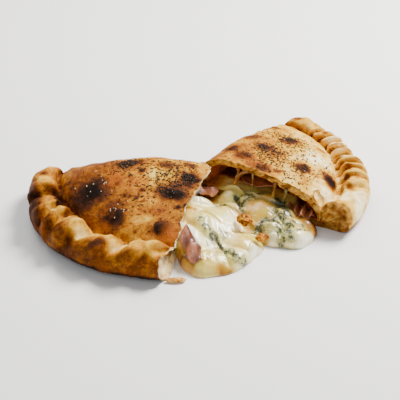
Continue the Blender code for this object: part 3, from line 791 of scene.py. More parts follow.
cheese = {
    "startRadius": 11.0,  # from the hinge between the two tears
    "hingeOffset": 0.65,
    "rows": 230,
    "topPoints": 170,
    # the pool: (heading, reach, top height half-way, share of it left at the rim)
    "lobes": (
        (-101.6, 98, 27.5, 0.62), (-100.5, 101, 26.5, 0.6), (-97, 114, 25.5, 0.48), (-92.5, 124, 23.5, 0.36),
        (-87, 128, 21, 0.3), (-81.5, 127.5, 19, 0.3), (-76, 125.5, 17.5, 0.36), (-71, 120.5, 16.5, 0.5),
        (-66.5, 115.5, 16, 0.6), (-62.5, 111, 15.5, 0.6), (-59.8, 109, 15, 0.55), (-57.2, 106, 15, 0.5),
        (-54.8, 101.5, 15.5, 0.5), (-52.5, 106.5, 16, 0.5), (-49.5, 113.5, 16.5, 0.5), (-47, 120, 16.5, 0.5),
        (-44, 125.5, 17, 0.5), (-39, 128, 17, 0.6), (-34, 127.5, 16, 0.62), (-29.5, 120, 15, 0.6), (-28.1, 114, 15, 0.6),
    ),
    # lumps: (x, y, along, across, heading, rise)
    "lumps": (
        (9, -52, 30, 26, -40, 7.5), (-7, -76, 20, 14, -55, 7), (39, -74, 17, 15, -10, 4), (58, -26, 17, 22, -10, 5),
        (28, -7, 13, 11, 0, 8.5), (44, -16, 14, 11, -15, 6), (76, -36, 12, 18, -30, 6.5), (62, -53, 14, 10, 0, 6),
        (66, -68, 11, 12, 0, 5.5), (84, -66, 19, 13, 10, 6.5), (84, -50, 13, 10, 0, 5), (2, -25, 10, 12, -100, 9),
        (6, -98, 22, 15, 12, 4.5), (33, -93, 18, 12, -25, 4.5), (48, -80, 11, 11, 0, 5), (26, -30, 13, 11, -40, 4.5),
        (94, -42, 11, 11, 0, 4), (43, -62, 14, 8, 0, 3),
    ),
    # valleys pressed into the skin: (width, depth, (x, y), (x, y), ...)
    "creases": (
        (1.8, 1.8, (32, -14), (35, -22), (37, -30), (42, -41)), (1.6, 1.4, (4, -21), (16, -23), (25, -29), (36, -37)),
        (2.2, 2.2, (-11, -62), (-4, -65), (2, -72), (5, -82)), (1.3, 1.3, (13, -72), (16, -81), (22, -88), (29, -94)),
        (1.8, 2.0, (29, -64), (35, -62), (42, -61), (47, -60), (57, -65)), (1.8, 1.6, (51, -55), (54, -49), (67, -50), (74, -56)),
        (2.0, 2.0, (69, -60), (70, -66), (70, -74)), (1.2, 0.9, (-11, -46), (-2, -48), (6, -49), (17, -58)),
        (1.2, 0.8, (-9, -40), (3, -38), (12, -43)), (1.4, 1.0, (66, -36), (70, -46), (74, -53)),
    ),
    "crumbDents": ((38.8, -55), (53.3, -71)),
    # the cheese's own warmth: (x, y, 0 white, 0.4 amber, 1 dark brown); painted shade joins it later
    "warmthAndShade": (
        (2, -28, 0.0), (8, -45, 0.1), (-6, -50, 0.2), (24, -52, 0.02), (14, -66, 0.06), (-8, -76, 0.04),
        (4, -84, 0.05), (12, -90, 0.12), (4, -105, 0.2), (20, -106, 0.26), (-8, -108, 0.26), (38, -75, 0.2),
        (47, -84, 0.03), (54, -72, 0.08), (46, -60, 0.3), (38, -34, 0.24), (24, -22, 0.12), (28, -6, 0.1),
        (47, -13, 0.2), (58, -24, 0.3), (64, -30, 0.28), (76, -33, 0.16), (88, -68, 0.04), (70, -60, 0.1),
        (60, -74, 0.2), (96, -60, 0.06), (34, -96, 0.06), (2, 2, 0.5), (-16, -95, 0.38), (98, -40, 0.4),
        (108, -48, 0.55), (102, -56, 0.45),
    ),
    # brown stains, and painted shade in creases and under the ham's end: (width, strength, (x, y), (x, y), ...)
    "stainsAndShade": (
        # the second stroke, along the crease under the sheet, is painted shade
        (2.6, 0.75, (19, -104), (24, -106)), (1.4, 0.2, (-11, -46), (-2, -48), (6, -49), (17, -58)),
        (2.5, 0.45, (99, -45), (105, -52), (103, -58)), (3.5, 0.25, (58, -69), (57, -75)),
        # (-20, -93) to (-5, -104) is painted shade under the ham's end; (37, -30) to (42, -41) is painted shade in a
        # crease
        (1.6, 0.35, (-20, -93), (-12, -95), (-5, -104)), (1.4, 0.3, (37, -30), (42, -41)),
    ),
    # blue mould: (width, strength, (x, y), (x, y), ...)
    "veins": (
        (3.4, 0.8, (0, -58), (8, -68), (13, -74)), (2.0, 1.3, (13, -73), (16, -81), (22, -88)),
        (4.0, 0.9, (22, -88), (29, -93), (37, -95)), (2.4, 0.6, (19, -66), (22, -72)), (2.0, 0.7, (16, -23), (25, -29), (31, -35)),
        (1.6, 1.2, (32, -14), (35, -22), (37, -31), (41, -38)), (3.6, 1.0, (40, -17), (44, -12), (47, -9), (54, -10)),
        (2.4, 0.8, (39, -25), (44, -20), (49, -19)), (3.6, 1.4, (72, -22), (76, -32), (78, -40)),
        (4.5, 0.9, (66, -36), (70, -46), (76, -52)), (3.6, 1.1, (50, -56), (54, -49), (60, -47), (67, -50)),
        (5.0, 0.6, (58, -54), (68, -57), (76, -58)), (2.4, 1.1, (76, -60), (79, -67)), (2.4, 0.9, (68, -60), (70, -68), (71, -76)),
        (1.8, 0.7, (78, -63), (84, -60), (92, -58)), (2.4, 0.6, (82, -50), (90, -54)), (1.8, 0.8, (44, -100), (47, -96)),
    ),
    # painted highlights: (width, strength, (x, y), (x, y), ...)
    "paintedHighlights": (
        (3.6, 1.0, (-15, -64), (-8, -72), (0, -82)), (3.0, 1.0, (7, -78), (10, -88)), (3.0, 1.0, (43, -86), (52, -75)),
        (4.0, 0.9, (25, -46), (29, -54), (28, -64)), (3.2, 1.0, (87, -70), (97, -62)), (3.0, 1.0, (-3, -28), (4, -20)),
        (3.0, 0.7, (62, -66), (66, -60)), (3.0, 0.6, (34, -102), (42, -96)), (2.6, 0.5, (12, -60), (20, -66)),
    ),
    # yellow-green wash: (width, strength, (x, y), (x, y), ...)
    "wash": (
        (7.0, 0.8, (-4, -90), (8, -88), (22, -98)), (5.0, 0.7, (40, -70), (52, -66), (44, -80)),
        (6.0, 0.5, (2, -56), (22, -44)), (5.0, 0.6, (42, -38), (58, -40)), (5.0, 0.5, (74, -60), (86, -62)),
        (6.0, 0.6, (8, -100), (0, -104)), (4.0, 0.5, (24, -24), (34, -10)),
    ),
    # yellow oil: (width, strength, (x, y), (x, y), ...)
    "oil": (
        (1.7, 1.0, (29, -64), (35, -62), (42, -61), (47, -60), (57, -65)), (3.6, 0.9, (46, -48), (49, -54)),
        (2.4, 0.8, (44, -36), (49, -30), (47, -26)), (2.4, 0.7, (44, -40), (54, -42), (64, -42)),
        (2.0, 0.8, (17, -24), (25, -30), (33, -36)), (2.4, 0.7, (2, -104), (6, -100), (12, -94), (17, -87)),
        (2.4, 0.5, (-2, -92), (6, -92), (14, -84)), (5.0, 0.8, (22, -104), (17, -104)), (2.4, 0.8, (56, -70), (58, -76)),
        (2.0, 0.5, (30, -82), (40, -84), (46, -78)), (3.0, 0.4, (36, -70), (44, -74)),
    ),
}

strings = {
    # (x, y, z, radius), bottom to top
    "long": (
        (29, 0, 14, 6.0), (30.5, 0, 18, 4.0), (31.8, -0.2, 22, 2.6), (33.2, -0.4, 27, 2.1), (34.4, -0.6, 31, 2.3),
        (37.5, -2, 34.5, 1.9), (40.5, -3.4, 37.5, 2.4), (44, -5, 40, 3.4),
    ),
    "branch": ((34, -0.6, 30, 1.8), (34.4, -0.6, 33, 1.4), (34.8, -0.9, 36.5, 1.4), (34.5, -1, 40.5, 2.6)),
    "short": ((64.5, -17, 14, 4.5), (65, -17.4, 19, 2.0), (66.2, -17.8, 24.5, 1.2), (67, -18.5, 31, 1.2), (67.2, -19, 36, 2.4)),
    "thread": ((47, -9, 16, 1.8), (47.2, -9.2, 21, 0.7), (47.3, -9.6, 27, 0.5), (47.3, -10, 34, 0.6), (47.4, -10, 40, 1.2)),
    "wisp": ((74, -22, 15, 3.0), (75, -22.6, 20, 1.3), (76.4, -23.6, 25.5, 0.9), (77, -24, 32, 2.0)),
}


def lineCrossing(pointA, headingA, pointB, headingB):
    a, b = unit(headingA), unit(headingB)
    step = pointB - pointA
    return pointA + (step[0] * b[1] - step[1] * b[0]) / (a[0] * b[1] - a[1] * b[0]) * a


def cheeseHinge():
    left, right, offset = leftHalf, rightHalf, cheese["hingeOffset"]
    fromLeft = left["corner"] + offset * unit(left["tearHeading"] + 90)
    fromRight = right["corner"] + offset * unit(right["tearHeading"] - 90)
    return lineCrossing(fromLeft, left["tearHeading"], fromRight, right["tearHeading"])


def spotField(points, spots, power=1.0, ragged=0.0, seed=0):
    # the highest of the spots: strength * (1 - distance^2)^power inside each ellipse
    field = np.zeros(points.shape[:-1])
    wobble = 1 + ragged * fractal(points, 6, seed, 3)
    for x, y, along, across, heading, strength in spots:
        c, s = unit(heading)
        dx, dy = points[..., 0] - x, points[..., 1] - y
        distance = ((dx * c + dy * s) / along) ** 2 + ((dy * c - dx * s) / across) ** 2
        field = np.maximum(field, strength * np.clip(1 - distance * wobble, 0, 1) ** power)
    return field


def strokeField(points, strokes, ragged=0.0, seed=0):
    # the strongest of the strokes: strength * exp(-(distance / width)^2) from a bent line
    field = np.zeros(points.shape[:-1])
    spread = 1 + ragged * noise(points, 5, seed)
    for width, strength, *places in strokes:
        nearest = np.full(field.shape, 1e6)
        for start, end in zip(places[:-1], places[1:]):
            start, step = np.array(start, float), np.subtract(end, start)
            t = np.clip(((points[..., :2] - start) @ step) / (step @ step), 0, 1)
            gap = points[..., :2] - start - t[..., None] * step
            nearest = np.minimum(nearest, (gap**2).sum(axis=-1))
        field = np.maximum(field, strength * np.exp(-nearest / (width * np.maximum(spread, 0.2)) ** 2))
    return field


def flowNoise(points, along, across, seed):
    # noise drawn out the way the cheese ran, away from the hinge
    offset = points[..., :2] - cheeseHinge()
    radius = np.sqrt((offset**2).sum(axis=-1))
    angle = np.arctan2(offset[..., 1], offset[..., 0]) * 75
    run = np.stack([radius / along, angle / across, points[..., 2] / 14], axis=-1)
    return fractal(run + 0.25 * noise(points, 12, seed)[..., None], 1.0, seed, 3)


def cheeseSurface(points):
    # lumps that rise out of the pool, valleys between them, and the stretched skin
    lumps = spotField(points, cheese["lumps"], 1.0, 0.12, 3)
    skin = 0.8 * fractal(points, 13, 2, 2) + 0.8 * flowNoise(points, 26, 6, 4) + 0.26 * fractal(points, 3.0, 5, 2)
    dents = 3.5 * spotField(points, [(x, y, 10, 9, 0, 1) for x, y in cheese["crumbDents"]], 0.7)
    return lumps + skin - 1.35 * strokeField(points, cheese["creases"], 0.4, 2) - dents


def depthInside(points, half):
    # how far a point lies behind the tear line
    return -((points[..., :2] - half["corner"]) @ outwardOf(half))


def cheeseMasks(points, shade=0.0):
    flat = points * np.array([1, 1, 0.6])
    bent = flat + 2.2 * np.stack([fractal(flat, 7, i, 2) for i in (1, 5, 8)], axis=-1)
    warmthAndShade = blendedValue(points, cheese["warmthAndShade"], 8) + 0.07 * fractal(flat, 9, 1, 3)
    warmthAndShade = warmthAndShade + 0.06 * flowNoise(points, 22, 5, 6) + strokeField(bent, cheese["stainsAndShade"], 0.5, 4)
    # painted shade: the cheese darkens to brown behind each tear, inside the crust halves
    for half, start in ((leftHalf, 3), (rightHalf, 12)):
        deep = depthInside(points, half) + 2 * noise(points, 6, 3) - start
        shade = np.maximum(shade, smoothStep(0, 10, deep) * 0.95)
    warmthAndShade = np.maximum(warmthAndShade, shade)
    region = strokeField(bent, cheese["veins"], 0.6, 2)
    streak = 1 - np.abs(fractal(bent, 5, 4, 3)) * 2.6
    wide = strokeField(bent, [(3.2 * vein[0], *vein[1:]) for vein in cheese["veins"]], 0.4, 3)
    mould = np.minimum(0.4 * region + 0.7 * region * smoothStep(0.35, 0.9, streak), 0.68) + 0.18 * wide
    oil = strokeField(bent, cheese["oil"], 0.5, 7)
    mould, oil = mould * (1 - shade), oil * (1 - shade)
    # painted highlights where the glossy cheese catches the light
    paintedHighlight = strokeField(bent, cheese["paintedHighlights"], 0.4, 6)
    wash = strokeField(bent, cheese["wash"], 0.5, 8)
    masks = {"curd": (warmthAndShade, mould, oil), "cream": (paintedHighlight, wash * (1 - shade), 0 * paintedHighlight)}
    return {name: np.stack([np.clip(field, 0, 1) for field in fields], axis=-1) for name, fields in masks.items()}


def cheesePool():
    # polar sections from the hinge: a rounded lip at the front, flat on the table underneath
    hinge, lobes = cheeseHinge(), np.array(cheese["lobes"])
    heading = np.linspace(lobes[0, 0], lobes[-1, 0], cheese["rows"])
    reach, top, lipShare = (batten(heading, lobes[:, 0], lobes[:, i]) for i in (1, 2, 3))
    along = np.stack([np.cos(np.radians(heading)), np.sin(np.radians(heading))], axis=-1)
    rim = hinge + along * reach[:, None]
    rim = np.concatenate([rim, np.zeros((len(rim), 1))], axis=1)
    reach = reach + (1.6 * fractal(rim, 14, 3, 2) + 0.6 * fractal(rim, 4, 4, 2)) * 0.8
    share = (1 - (1 - np.linspace(0, 1, cheese["topPoints"])) ** 1.5)[None, :]
    radius = cheese["startRadius"] + (reach[:, None] - cheese["startRadius"]) * share
    near = np.interp(heading, (-100, -90), (0.62, 0.45))[:, None]
    inner = near + (1 - near) * smoothStep(-0.02, 0.45, share)
    slope = lipShare[:, None] + (1 - lipShare[:, None]) * (1 - smoothStep(0.42, 1.12, share)) / 0.995
    rise = np.where(share < 0.45, inner, slope)
    lip = (1 - share**20) ** 0.4
    flat = hinge + along[:, None, :] * radius[..., None]
    points = np.concatenate([flat, top[:, None, None] * rise[..., None]], axis=2)
    closeToWall = smoothStep(0, 3.0, heading - heading[0]) * smoothStep(0, 3.0, heading[-1] - heading)
    height = points[..., 2] + (cheeseSurface(points) - 1.5) * (0.35 + 0.65 * closeToWall[:, None])
    points[..., 2] = np.maximum(height * lip, 0.4)
    bottomShare = np.linspace(1, 0, 26)[None, :]
    bottomRadius = cheese["startRadius"] + (reach[:, None] - 0.8 - cheese["startRadius"]) * bottomShare
    below = hinge + along[:, None, :] * bottomRadius[..., None]
    below = np.concatenate([below, np.zeros(below.shape[:2] + (1,))], axis=2)
    return np.concatenate([points, below], axis=1)


def fillingInside(half, tops, share, overrun):
    # the hollow's own sections, cut off level at the top of the filling
    turn = np.linspace(90, dough["firstTurn"] + 12, 64)
    q, z = innerSections(half, turn)
    gap = 0.46
    q = q + gap * np.sign(q.mean(axis=1, keepdims=True) - q)
    ridge = setbackOf(half, turn, q.max(axis=1, keepdims=True))
    q = np.minimum(q, ridge) + np.maximum(q - ridge, 0) * share
    level = batten(turn, (0, 40, 70, 90), tops)[:, None] - 0.04 * np.abs(q - 60)
    rings = placeSections(half, turn, q, z, np.full(q.shape[1], overrun))
    surface = cheeseSurface(rings) - 1.0
    isTop = smoothStep(-1.5, 1.0, z - level)
    rings[..., 2] = np.clip(np.minimum(z - 0.6, level + surface * isTop), dough["floor"] + gap, None)
    return rings


def tube(path, sides=20, smooth=8, flat=0.75, seed=0):
    # a round section carried along a curve through the points, with the radius bent the same way
    path = np.array(path, float)
    at = np.linspace(0, len(path) - 1, (len(path) - 1) * smooth + 1)
    x, y, z, radius = (batten(at, range(len(path)), path[:, i]) for i in range(4))
    centre = np.stack([x, y, z], axis=-1)
    along = np.gradient(centre, axis=0)
    along /= np.linalg.norm(along, axis=1, keepdims=True)
    side = np.cross(along, (0, 1, 0))
    side /= np.linalg.norm(side, axis=1, keepdims=True)
    other = np.cross(along, side)
    angle = np.linspace(0, 2 * np.pi, sides, endpoint=False)[None, :, None]
    ring = side[:, None, :] * np.cos(angle) + flat * other[:, None, :] * np.sin(angle)
    rings = centre[:, None, :] + ring * radius[:, None, None]
    return rings + ring * (0.25 * noise(rings, 3, seed) * radius[:, None] ** 0.5)[..., None]


def cheeseFinish():
    finish = Finish(
        "molten_cheese", Subsurface_Weight=0.25, Subsurface_Scale=0.003, Specular_IOR_Level=0.5,
        Subsurface_Radius=(1.0, 0.7, 0.35), Coat_Weight=0.55, Coat_Roughness=0.07,
    )
    # the first mask holds the cheese's own colour and the painted shade inside the crust and on the strings
    warmthAndShade, mould, oil = finish.masks("curd")
    fine = finish.speckle(1.5, 3, 0.6)
    middle = finish.speckle(6.0, 3, 0.55)
    # the dark end serves brown stains and the painted shade inside the crust and on the strings
    stops = (
        (0.0, tone(252, 244, 186)), (0.14, tone(232, 208, 112)), (0.3, tone(200, 150, 46)),
        (0.5, tone(140, 82, 22)), (0.7, tone(104, 50, 16)), (0.95, tone(70, 28, 12)),
    )
    colour = finish.ramp(warmthAndShade + (middle - 0.5) * 0.16, stops)
    paintedHighlight, wash, spare = finish.masks("cream")
    colour = finish.mix(wash * 0.8, colour, tone(204, 198, 62))
    # painted highlights
    colour = finish.mix(paintedHighlight * 0.8, colour, tone(255, 252, 230))
    colour = finish.mix(oil * 0.85, colour, tone(188, 130, 6))
    colour = finish.mix(finish.between(mould + (middle - 0.5) * 0.5, 0.02, 0.6) * 0.75, colour, tone(136, 138, 74))
    dots = finish.between(mould + (fine - 0.5) * 1.5, 0.54, 0.76)
    colour = finish.mix(dots * 0.9, colour, tone(38, 42, 20))
    rough = 0.28 + (middle - 0.5) * 0.2 - oil * 0.12 + mould * 0.15
    normal = finish.bump(fine * 0.6 + middle, 0.3)
    return finish.finish(Base_Color=colour, Roughness=rough, Normal=normal)


moltenCheese = cheeseFinish()
pool = cheesePool()
fillings = {
    "cheese_pool": pool,
    "filling_left": fillingInside(leftHalf, (14.0, 21.0, 25.0, 26.5), 0.84, 5.0),
    "filling_right": fillingInside(rightHalf, (11.0, 16.0, 18.0, 18.0), 0.68, 5.0),
}
for number, (name, path) in enumerate(strings.items()):
    fillings["string_" + name] = tube(path, seed=number)
for name, rings in fillings.items():
    # painted shade on the upper part of the strings
    stringShade = smoothStep(14, 30, rings[..., 2]) * 0.58 if name.startswith("string") else 0.0
    masks = cheeseMasks(rings, stringShade)
    addPiece(name, ringMesh(name, rings, masks), moltenCheese, "melted_cheese")
print("cheese pool, fillings and", len(strings), "strings")


# ---- the ham ----

ham = {
    # middle, heading, length, width, waves, wave height, fall along, curl across, thickness, swing, painted shade on
    # one side
    "ham_front": ((-8.6, -91.2, 22.2), -73, 26, 14, 1.7, 1.9, -0.6, -6.0, 1.8, 5.0, 1.0),
    "ham_corner": ((8.5, -2.7, 18.0), -18, 18, 13, 1.0, 1.2, -0.1, -2.0, 2.8, 0.0, 0.1),
    "ham_inside": ((54.3, 0.8, 24.6), -28, 34, 18, 1.0, 1.5, 0.0, 1.2, 2.6, 0.0, 0.3),
    "ham_back": ((90.8, -31.7, 15.6), -27, 25, 17, 3.4, 2.6, -0.12, -1.5, 2.2, 0.0, 0.5),
}


def slab(middle, heading, length, width, waves, height, fall, curl, thick, swing, shadedSide, seed=0):
    # a thin slice: waves along it, its long edges curled up or folded down, and a rounded rim
    s = np.linspace(-0.5, 0.5, 110)[:, None]
    angle = np.linspace(0, 2 * np.pi, 72, endpoint=False)[None, :]
    t = signedPower(np.cos(angle), 0.55)
    narrow = (1 - np.abs(2 * s) ** 6) ** 0.5 * (1 - 0.16 * (2 * s) ** 2) + 1e-3
    narrow = narrow * (1 + 0.2 * np.sin(9 * s + seed + 2 * np.sign(t)) * np.abs(t))
    forward = s * length + 0 * t
    side = t * narrow * width / 2 + swing * (s + 0.5) ** 2
    wave = np.sin(2 * np.pi * waves * (s + 0.06 * t) + 0.4 * t)
    rise = height * wave + fall * forward + curl * np.abs(t) ** (1.4 if curl < 0 else 2.5) * narrow
    rise = rise + thick / 2 * signedPower(np.sin(angle), 0.6) * (0.35 + 0.65 * narrow)
    c, d = unit(heading)
    x, y = middle[0] + forward * c - side * d, middle[1] + forward * d + side * c
    rings = np.stack([x, y, middle[2] + rise], axis=-1)
    wobble = np.stack([noise(rings, 6, seed + i) for i in range(3)], axis=-1)
    rings = rings + wobble * np.array([1.1, 1.1, 0.9])
    # painted shade: one side of the slice and the troughs of its waves darker, with some random tone
    shade = shadedSide * smoothStep(-0.15, 0.5, t) + 0.35 * shadedSide * (1 - wave) + 0.25 * fractal(rings, 6, seed, 2)
    edge = smoothStep(0.8, 1.0, np.abs(t)) + 0 * s
    rings[..., 2] = np.maximum(rings[..., 2], 1.0)
    return rings, {"slice": np.stack([np.clip(shade, 0, 1), edge, 0 * shade], axis=-1)}


def hamFinish(name, lean, fat, dark, rind):
    finish = Finish(
        name, Subsurface_Weight=0.15, Subsurface_Scale=0.002, Coat_Weight=0.5, Coat_Roughness=0.15,
        Specular_IOR_Level=0.5,
    )
    shade, edge, spare = finish.masks("slice")
    fibre = finish.speckle(3.0, 4, 0.6, stretch=(1, 0.35, 0.6), turned=0.5)
    fine = finish.speckle(1.0, 3, 0.6)
    colour = finish.mix(finish.between(fibre, 0.54, 0.68), lean, fat)
    colour = finish.mix(finish.between(fibre, 0.46, 0.3) * 0.6, colour, dark)
    # painted shade from the slice mask
    colour = finish.mix(shade, colour, dark)
    colour = finish.mix(edge * 0.6, colour, rind)
    normal = finish.bump(fibre + fine * 0.4, 0.4)
    return finish.finish(Base_Color=colour, Roughness=0.26 + fine * 0.2, Normal=normal)


pinkHam = hamFinish("pink_ham", tone(206, 128, 92), tone(238, 196, 158), tone(92, 40, 18), tone(190, 92, 40))
mauveHam = hamFinish("mauve_ham", tone(214, 138, 108), tone(226, 170, 134), tone(130, 66, 42), tone(200, 122, 80))
# a dark copy of the ham finish for the slices inside the hollow: painted shade
shadedHam = hamFinish("shaded_ham", tone(152, 88, 48), tone(178, 116, 70), tone(54, 22, 10), tone(150, 84, 46))
sliceFinish = {"ham_front": pinkHam, "ham_corner": mauveHam}
for number, (name, sizes) in enumerate(ham.items()):
    rings, masks = slab(*sizes, seed=number)
    addPiece(name + "_slice", ringMesh(name, rings, masks), sliceFinish.get(name, shadedHam), name)
print("ham", len(ham), "slices")


peel = ((104.6, -36.5, 29.7), -66, 19, 7, 0.6, 1.0, -0.4, 3.0, 1.2, -2.0, 0.0)
rings, masks = slab(*peel, seed=4)
browned = 0.24 + 0.3 * fractal(rings, 5, 3, 3) + 0.3 * masks["slice"][..., 1]
masks = {"bake": np.stack([browned, 0 * browned, 0 * browned], axis=-1)}
addPiece("crust_right_peel", ringMesh("crust_right_peel", rings, masks), paleDough)


# ---- toasted crumbs and the shred of crust ----

crumbs = {
    # middle, sizes, heading, roughness of the lumps
    "toasted_crumb_large": ((38.8, -54.0, 19.9), (14.2, 10.6, 7.6), -20, 1.9),
    "toasted_crumb_small": ((53.3, -69.9, 12.3), (10.6, 8.2, 6.2), 30, 1.5),
    "crust_shred": ((-20.2, -115.7, 2.0), (18.0, 5.5, 3.6), 3, 0.5),
}


def lump(middle, sizes, heading, roughness, seed=0):
    # a ball: latitude by longitude, each point pushed out by coarse and fine noise
    up = np.linspace(-0.5 * np.pi, 0.5 * np.pi, 44)[1:-1, None]
    around = np.linspace(0, 2 * np.pi, 72, endpoint=False)[None, :]
    ball = np.stack([np.cos(up) * np.cos(around), np.cos(up) * np.sin(around), np.sin(up) + 0 * around], axis=-1)
    half = np.array(sizes) / 2
    rings = ball * half
    push = fractal(rings, 4.5, seed, 3) * 0.9 + smoothStep(0.1, 0.6, noise(rings, 2.0, seed + 2)) * 0.5
    rings = rings + ball * (push * roughness)[..., None]
    c, s = unit(heading)
    x, y = rings[..., 0] * c - rings[..., 1] * s, rings[..., 0] * s + rings[..., 1] * c
    turned = np.stack([x, y, rings[..., 2]], axis=-1) + np.array(middle)
    turned[..., 2] = np.maximum(turned[..., 2], 0.05)
    return turned


def toastFinish(name, stops):
    finish = Finish(name, Specular_IOR_Level=0.08)
    middle = finish.speckle(3.0, 4, 0.65)
    fine = finish.speckle(0.8, 2, 0.6)
    colour = finish.ramp(middle, stops)
    normal = finish.bump(middle + fine * 0.5, 0.5)
    return finish.finish(Base_Color=colour, Roughness=0.45 + fine * 0.25, Normal=normal)


toasted = toastFinish("toasted_crumb", (
    (0.4, tone(74, 30, 4)), (0.48, tone(146, 80, 8)), (0.57, tone(192, 124, 18)), (0.7, tone(230, 176, 60)),
))
shredded = toastFinish("crust_shred", (
    (0.34, tone(140, 74, 20)), (0.46, tone(196, 128, 48)), (0.62, tone(228, 188, 110)),
))
for number, (name, sizes) in enumerate(crumbs.items()):
    rings = lump(*sizes, seed=number)
    finish = shredded if name == "crust_shred" else toasted
    addPiece(name + "_rough", ringMesh(name, rings), finish, name)
print("crumbs", len(crumbs))


# ---- herbs and coarse grains ----

scatter = {
    # where dried herbs lie: (x, y, spread, count)
    "herbsLeft": (
        (-64, -3, 7, 110), (-46, -10, 14, 90), (-22, -14, 11, 110), (-14, -28, 8, 90), (-28, -26, 9, 90),
        (-40, -30, 10, 50), (-52, -40, 14, 36), (-82, -12, 10, 30), (-22, -56, 12, 24), (-60, -66, 22, 22), (-95, -30, 16, 14),
    ),
    "herbsRight": (
        (84, 50, 9, 150), (62, 24, 8, 120), (50, 12, 11, 70), (78, 12, 12, 120), (88, 30, 12, 80),
        (92, -2, 9, 60), (86, -10, 8, 50), (110, 20, 12, 16), (66, 50, 14, 40), (56, -3, 6, 40), (120, 4, 7, 22),
    ),
    # pale coarse grains
    "grains": (
        (-93, -30, 7, 5), (-84, -22, 4, 5), (-66, -56, 7, 9), (-56, -60, 6, 4), (-34, -90, 10, 3),
        (-108, -16, 10, 3), (-92, -42, 6, 2), (-74, -56, 6, 3), (100, -14, 9, 8), (80, 20, 20, 5),
    ),
}
flakeShape = np.array([(1, 0, 0), (0.1, 1, 0.1), (-1, 0.1, 0.35), (-0.1, -1, 0), (0, 0, 1), (0, 0, -1)], float)
flakeFaces = ((0, 1, 4), (1, 2, 4), (2, 3, 4), (3, 0, 4), (1, 0, 5), (2, 1, 5), (3, 2, 5), (0, 3, 5))


def scatterOn(rings, places, sizes, seed, lowest=10):
    # copies of one small shape laid on the surface: each place draws points around it
    chance = np.random.default_rng(seed)
    normals = normalsOf(rings).reshape(-1, 3)
    surface = rings.reshape(-1, 3)
    usable = (surface[:, 2] > lowest) & (normals[:, 2] > 0.1)
    surface, normals = surface[usable], normals[usable]
    chosen = []
    for x, y, spread, count in places:
        for dx, dy in chance.normal(0, spread, (count, 2)):
            gap = (surface[:, 0] - x - dx) ** 2 + (surface[:, 1] - y - dy) ** 2
            if gap.min() < 4:
                chosen.append(gap.argmin())
    centre, normal = surface[chosen], normals[chosen]
    turn = chance.uniform(0, 2 * np.pi, len(chosen))
    side = np.cross(normal, (0.3, 0.9, 0.1))
    side /= np.linalg.norm(side, axis=1, keepdims=True)
    other = np.cross(normal, side)
    first = side * np.cos(turn)[:, None] + other * np.sin(turn)[:, None]
    second = np.cross(normal, first)
    first = first + normal * chance.normal(0, 0.25, (len(chosen), 1))
    size = np.array(sizes) * chance.uniform(0.55, 1.25, (len(chosen), 3))
    shape = flakeShape[None] * size[:, None, :]
    points = centre[:, None] + shape[..., :1] * first[:, None] + shape[..., 1:2] * second[:, None]
    points = points + shape[..., 2:] * normal[:, None] + normal[:, None] * size[:, 2:, None] * 0.5
    faces = (np.array(flakeFaces)[None] + 6 * np.arange(len(chosen))[:, None, None]).reshape(-1, 3)
    return insideBox(points.reshape(-1, 3)), faces


def addScatter(name, parts, finish):
    points, faces, count = [], [], 0
    for somePoints, someFaces in parts:
        points.append(somePoints)
        faces.append(someFaces + count)
        count += len(somePoints)
    mesh = bpy.data.meshes.new(name)
    mesh.from_pydata((np.concatenate(points) * mm).tolist(), [], np.concatenate(faces).tolist())
    return addPiece(name, mesh, finish)


def speckFinish(name, stops, roughness):
    finish = Finish(name, Specular_IOR_Level=0.3)
    shade = finish.speckle(2.5, 2, 0.5)
    return finish.finish(Base_Color=finish.ramp(shade, stops), Roughness=roughness + shade * 0.2)


driedHerb = speckFinish("dried_herb", ((0.36, tone(22, 12, 7)), (0.5, tone(44, 26, 11)), (0.64, tone(84, 62, 24))), 0.6)
semolina = speckFinish("coarse_grain", ((0.35, tone(214, 176, 122)), (0.65, tone(246, 226, 190))), 0.5)
left, right = domes["crust_left"], domes["crust_right"]
addScatter("herb_flakes", (
    scatterOn(left, scatter["herbsLeft"], (1.55, 0.72, 0.4), 3),
    scatterOn(right, scatter["herbsRight"], (1.55, 0.72, 0.4), 4),
), driedHerb)
addScatter("coarse_grains", (
    scatterOn(left, scatter["grains"][:8], (0.75, 0.6, 0.5), 5),
    scatterOn(right, scatter["grains"][8:], (0.7, 0.55, 0.5), 6),
), semolina)
mouldSpots = [
    (x, y, width, int(9 * strength)) for width, strength, *places in cheese["veins"] for x, y in places
]
poolTop = pool[4:-4, 8 : cheese["topPoints"] - 4]
addScatter("mould_specks", (scatterOn(poolTop, mouldSpots, (0.7, 0.5, 0.3), 7, 3),), speckFinish(
    "blue_mould", ((0.35, tone(22, 28, 24)), (0.65, tone(70, 82, 66))), 0.4,
))
print("herbs, grains and mould specks")


# ---- floor, light and camera ----

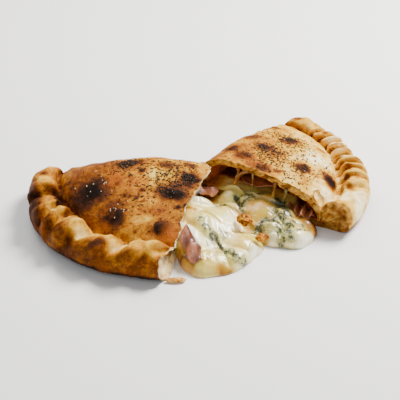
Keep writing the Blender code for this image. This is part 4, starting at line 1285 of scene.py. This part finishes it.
def addFloor():
    mesh = bpy.data.meshes.new("floor")
    corners = [(-4, -4, 0), (4, -4, 0), (4, 4, 0), (-4, 4, 0)]
    mesh.from_pydata([(x, y, z - 0.0002) for x, y, z in corners], [], [(0, 1, 2, 3)])
    floor = bpy.data.objects.new("floor", mesh)
    bpy.context.scene.collection.objects.link(floor)
    finish = Finish("floor_paper", Base_Color=(0.9, 0.9, 0.9, 1), Roughness=0.9)
    mesh.materials.append(finish.material)


studio = {
    "ambient": 0.36,
    # heading, height, distance, size in metres, watts, warmth
    "lamps": (
        ((32, 50), 1.3, 0.55, 52.0, (1.0, 0.97, 0.93)),
        ((120, 50), 1.5, 0.9, 14.0, (1.0, 0.98, 0.95)),
        ((-100, 40), 1.7, 1.2, 5.0, (0.96, 0.98, 1.0)),
    ),
}


def addStudio():
    world = bpy.data.worlds.new("studio")
    bpy.context.scene.world = world
    world.use_nodes = True
    world.node_tree.nodes["Background"].inputs["Color"].default_value = (1, 1, 1, 1)
    world.node_tree.nodes["Background"].inputs["Strength"].default_value = studio["ambient"]
    for number, ((heading, height), distance, size, watts, colour) in enumerate(studio["lamps"]):
        light = bpy.data.lights.new(f"soft_box_{number}", "AREA")
        light.size, light.energy, light.color = size, watts, colour
        lamp = bpy.data.objects.new(light.name, light)
        bpy.context.scene.collection.objects.link(lamp)
        flat, rise = math.cos(math.radians(height)) * distance, math.sin(math.radians(height)) * distance
        x, y = unit(heading) * flat
        lamp.location = (x, y, rise)
        lamp.rotation_euler = (0, math.radians(90 - height), math.radians(heading))


def addCamera():
    target, distance, height = (-0.0002, -0.0232, 0.020), 0.90, math.radians(34)
    camera = bpy.data.objects.new("camera", bpy.data.cameras.new("camera"))
    bpy.context.scene.collection.objects.link(camera)
    back = (0.0, -math.cos(height) * distance, math.sin(height) * distance)
    camera.location = [a + b for a, b in zip(target, back)]
    camera.rotation_euler = (math.radians(90) - height, 0, 0)
    camera.data.lens, camera.data.sensor_width, camera.data.clip_start = 90, 36, 0.01
    bpy.context.scene.camera = camera


addFloor()
addStudio()
addCamera()
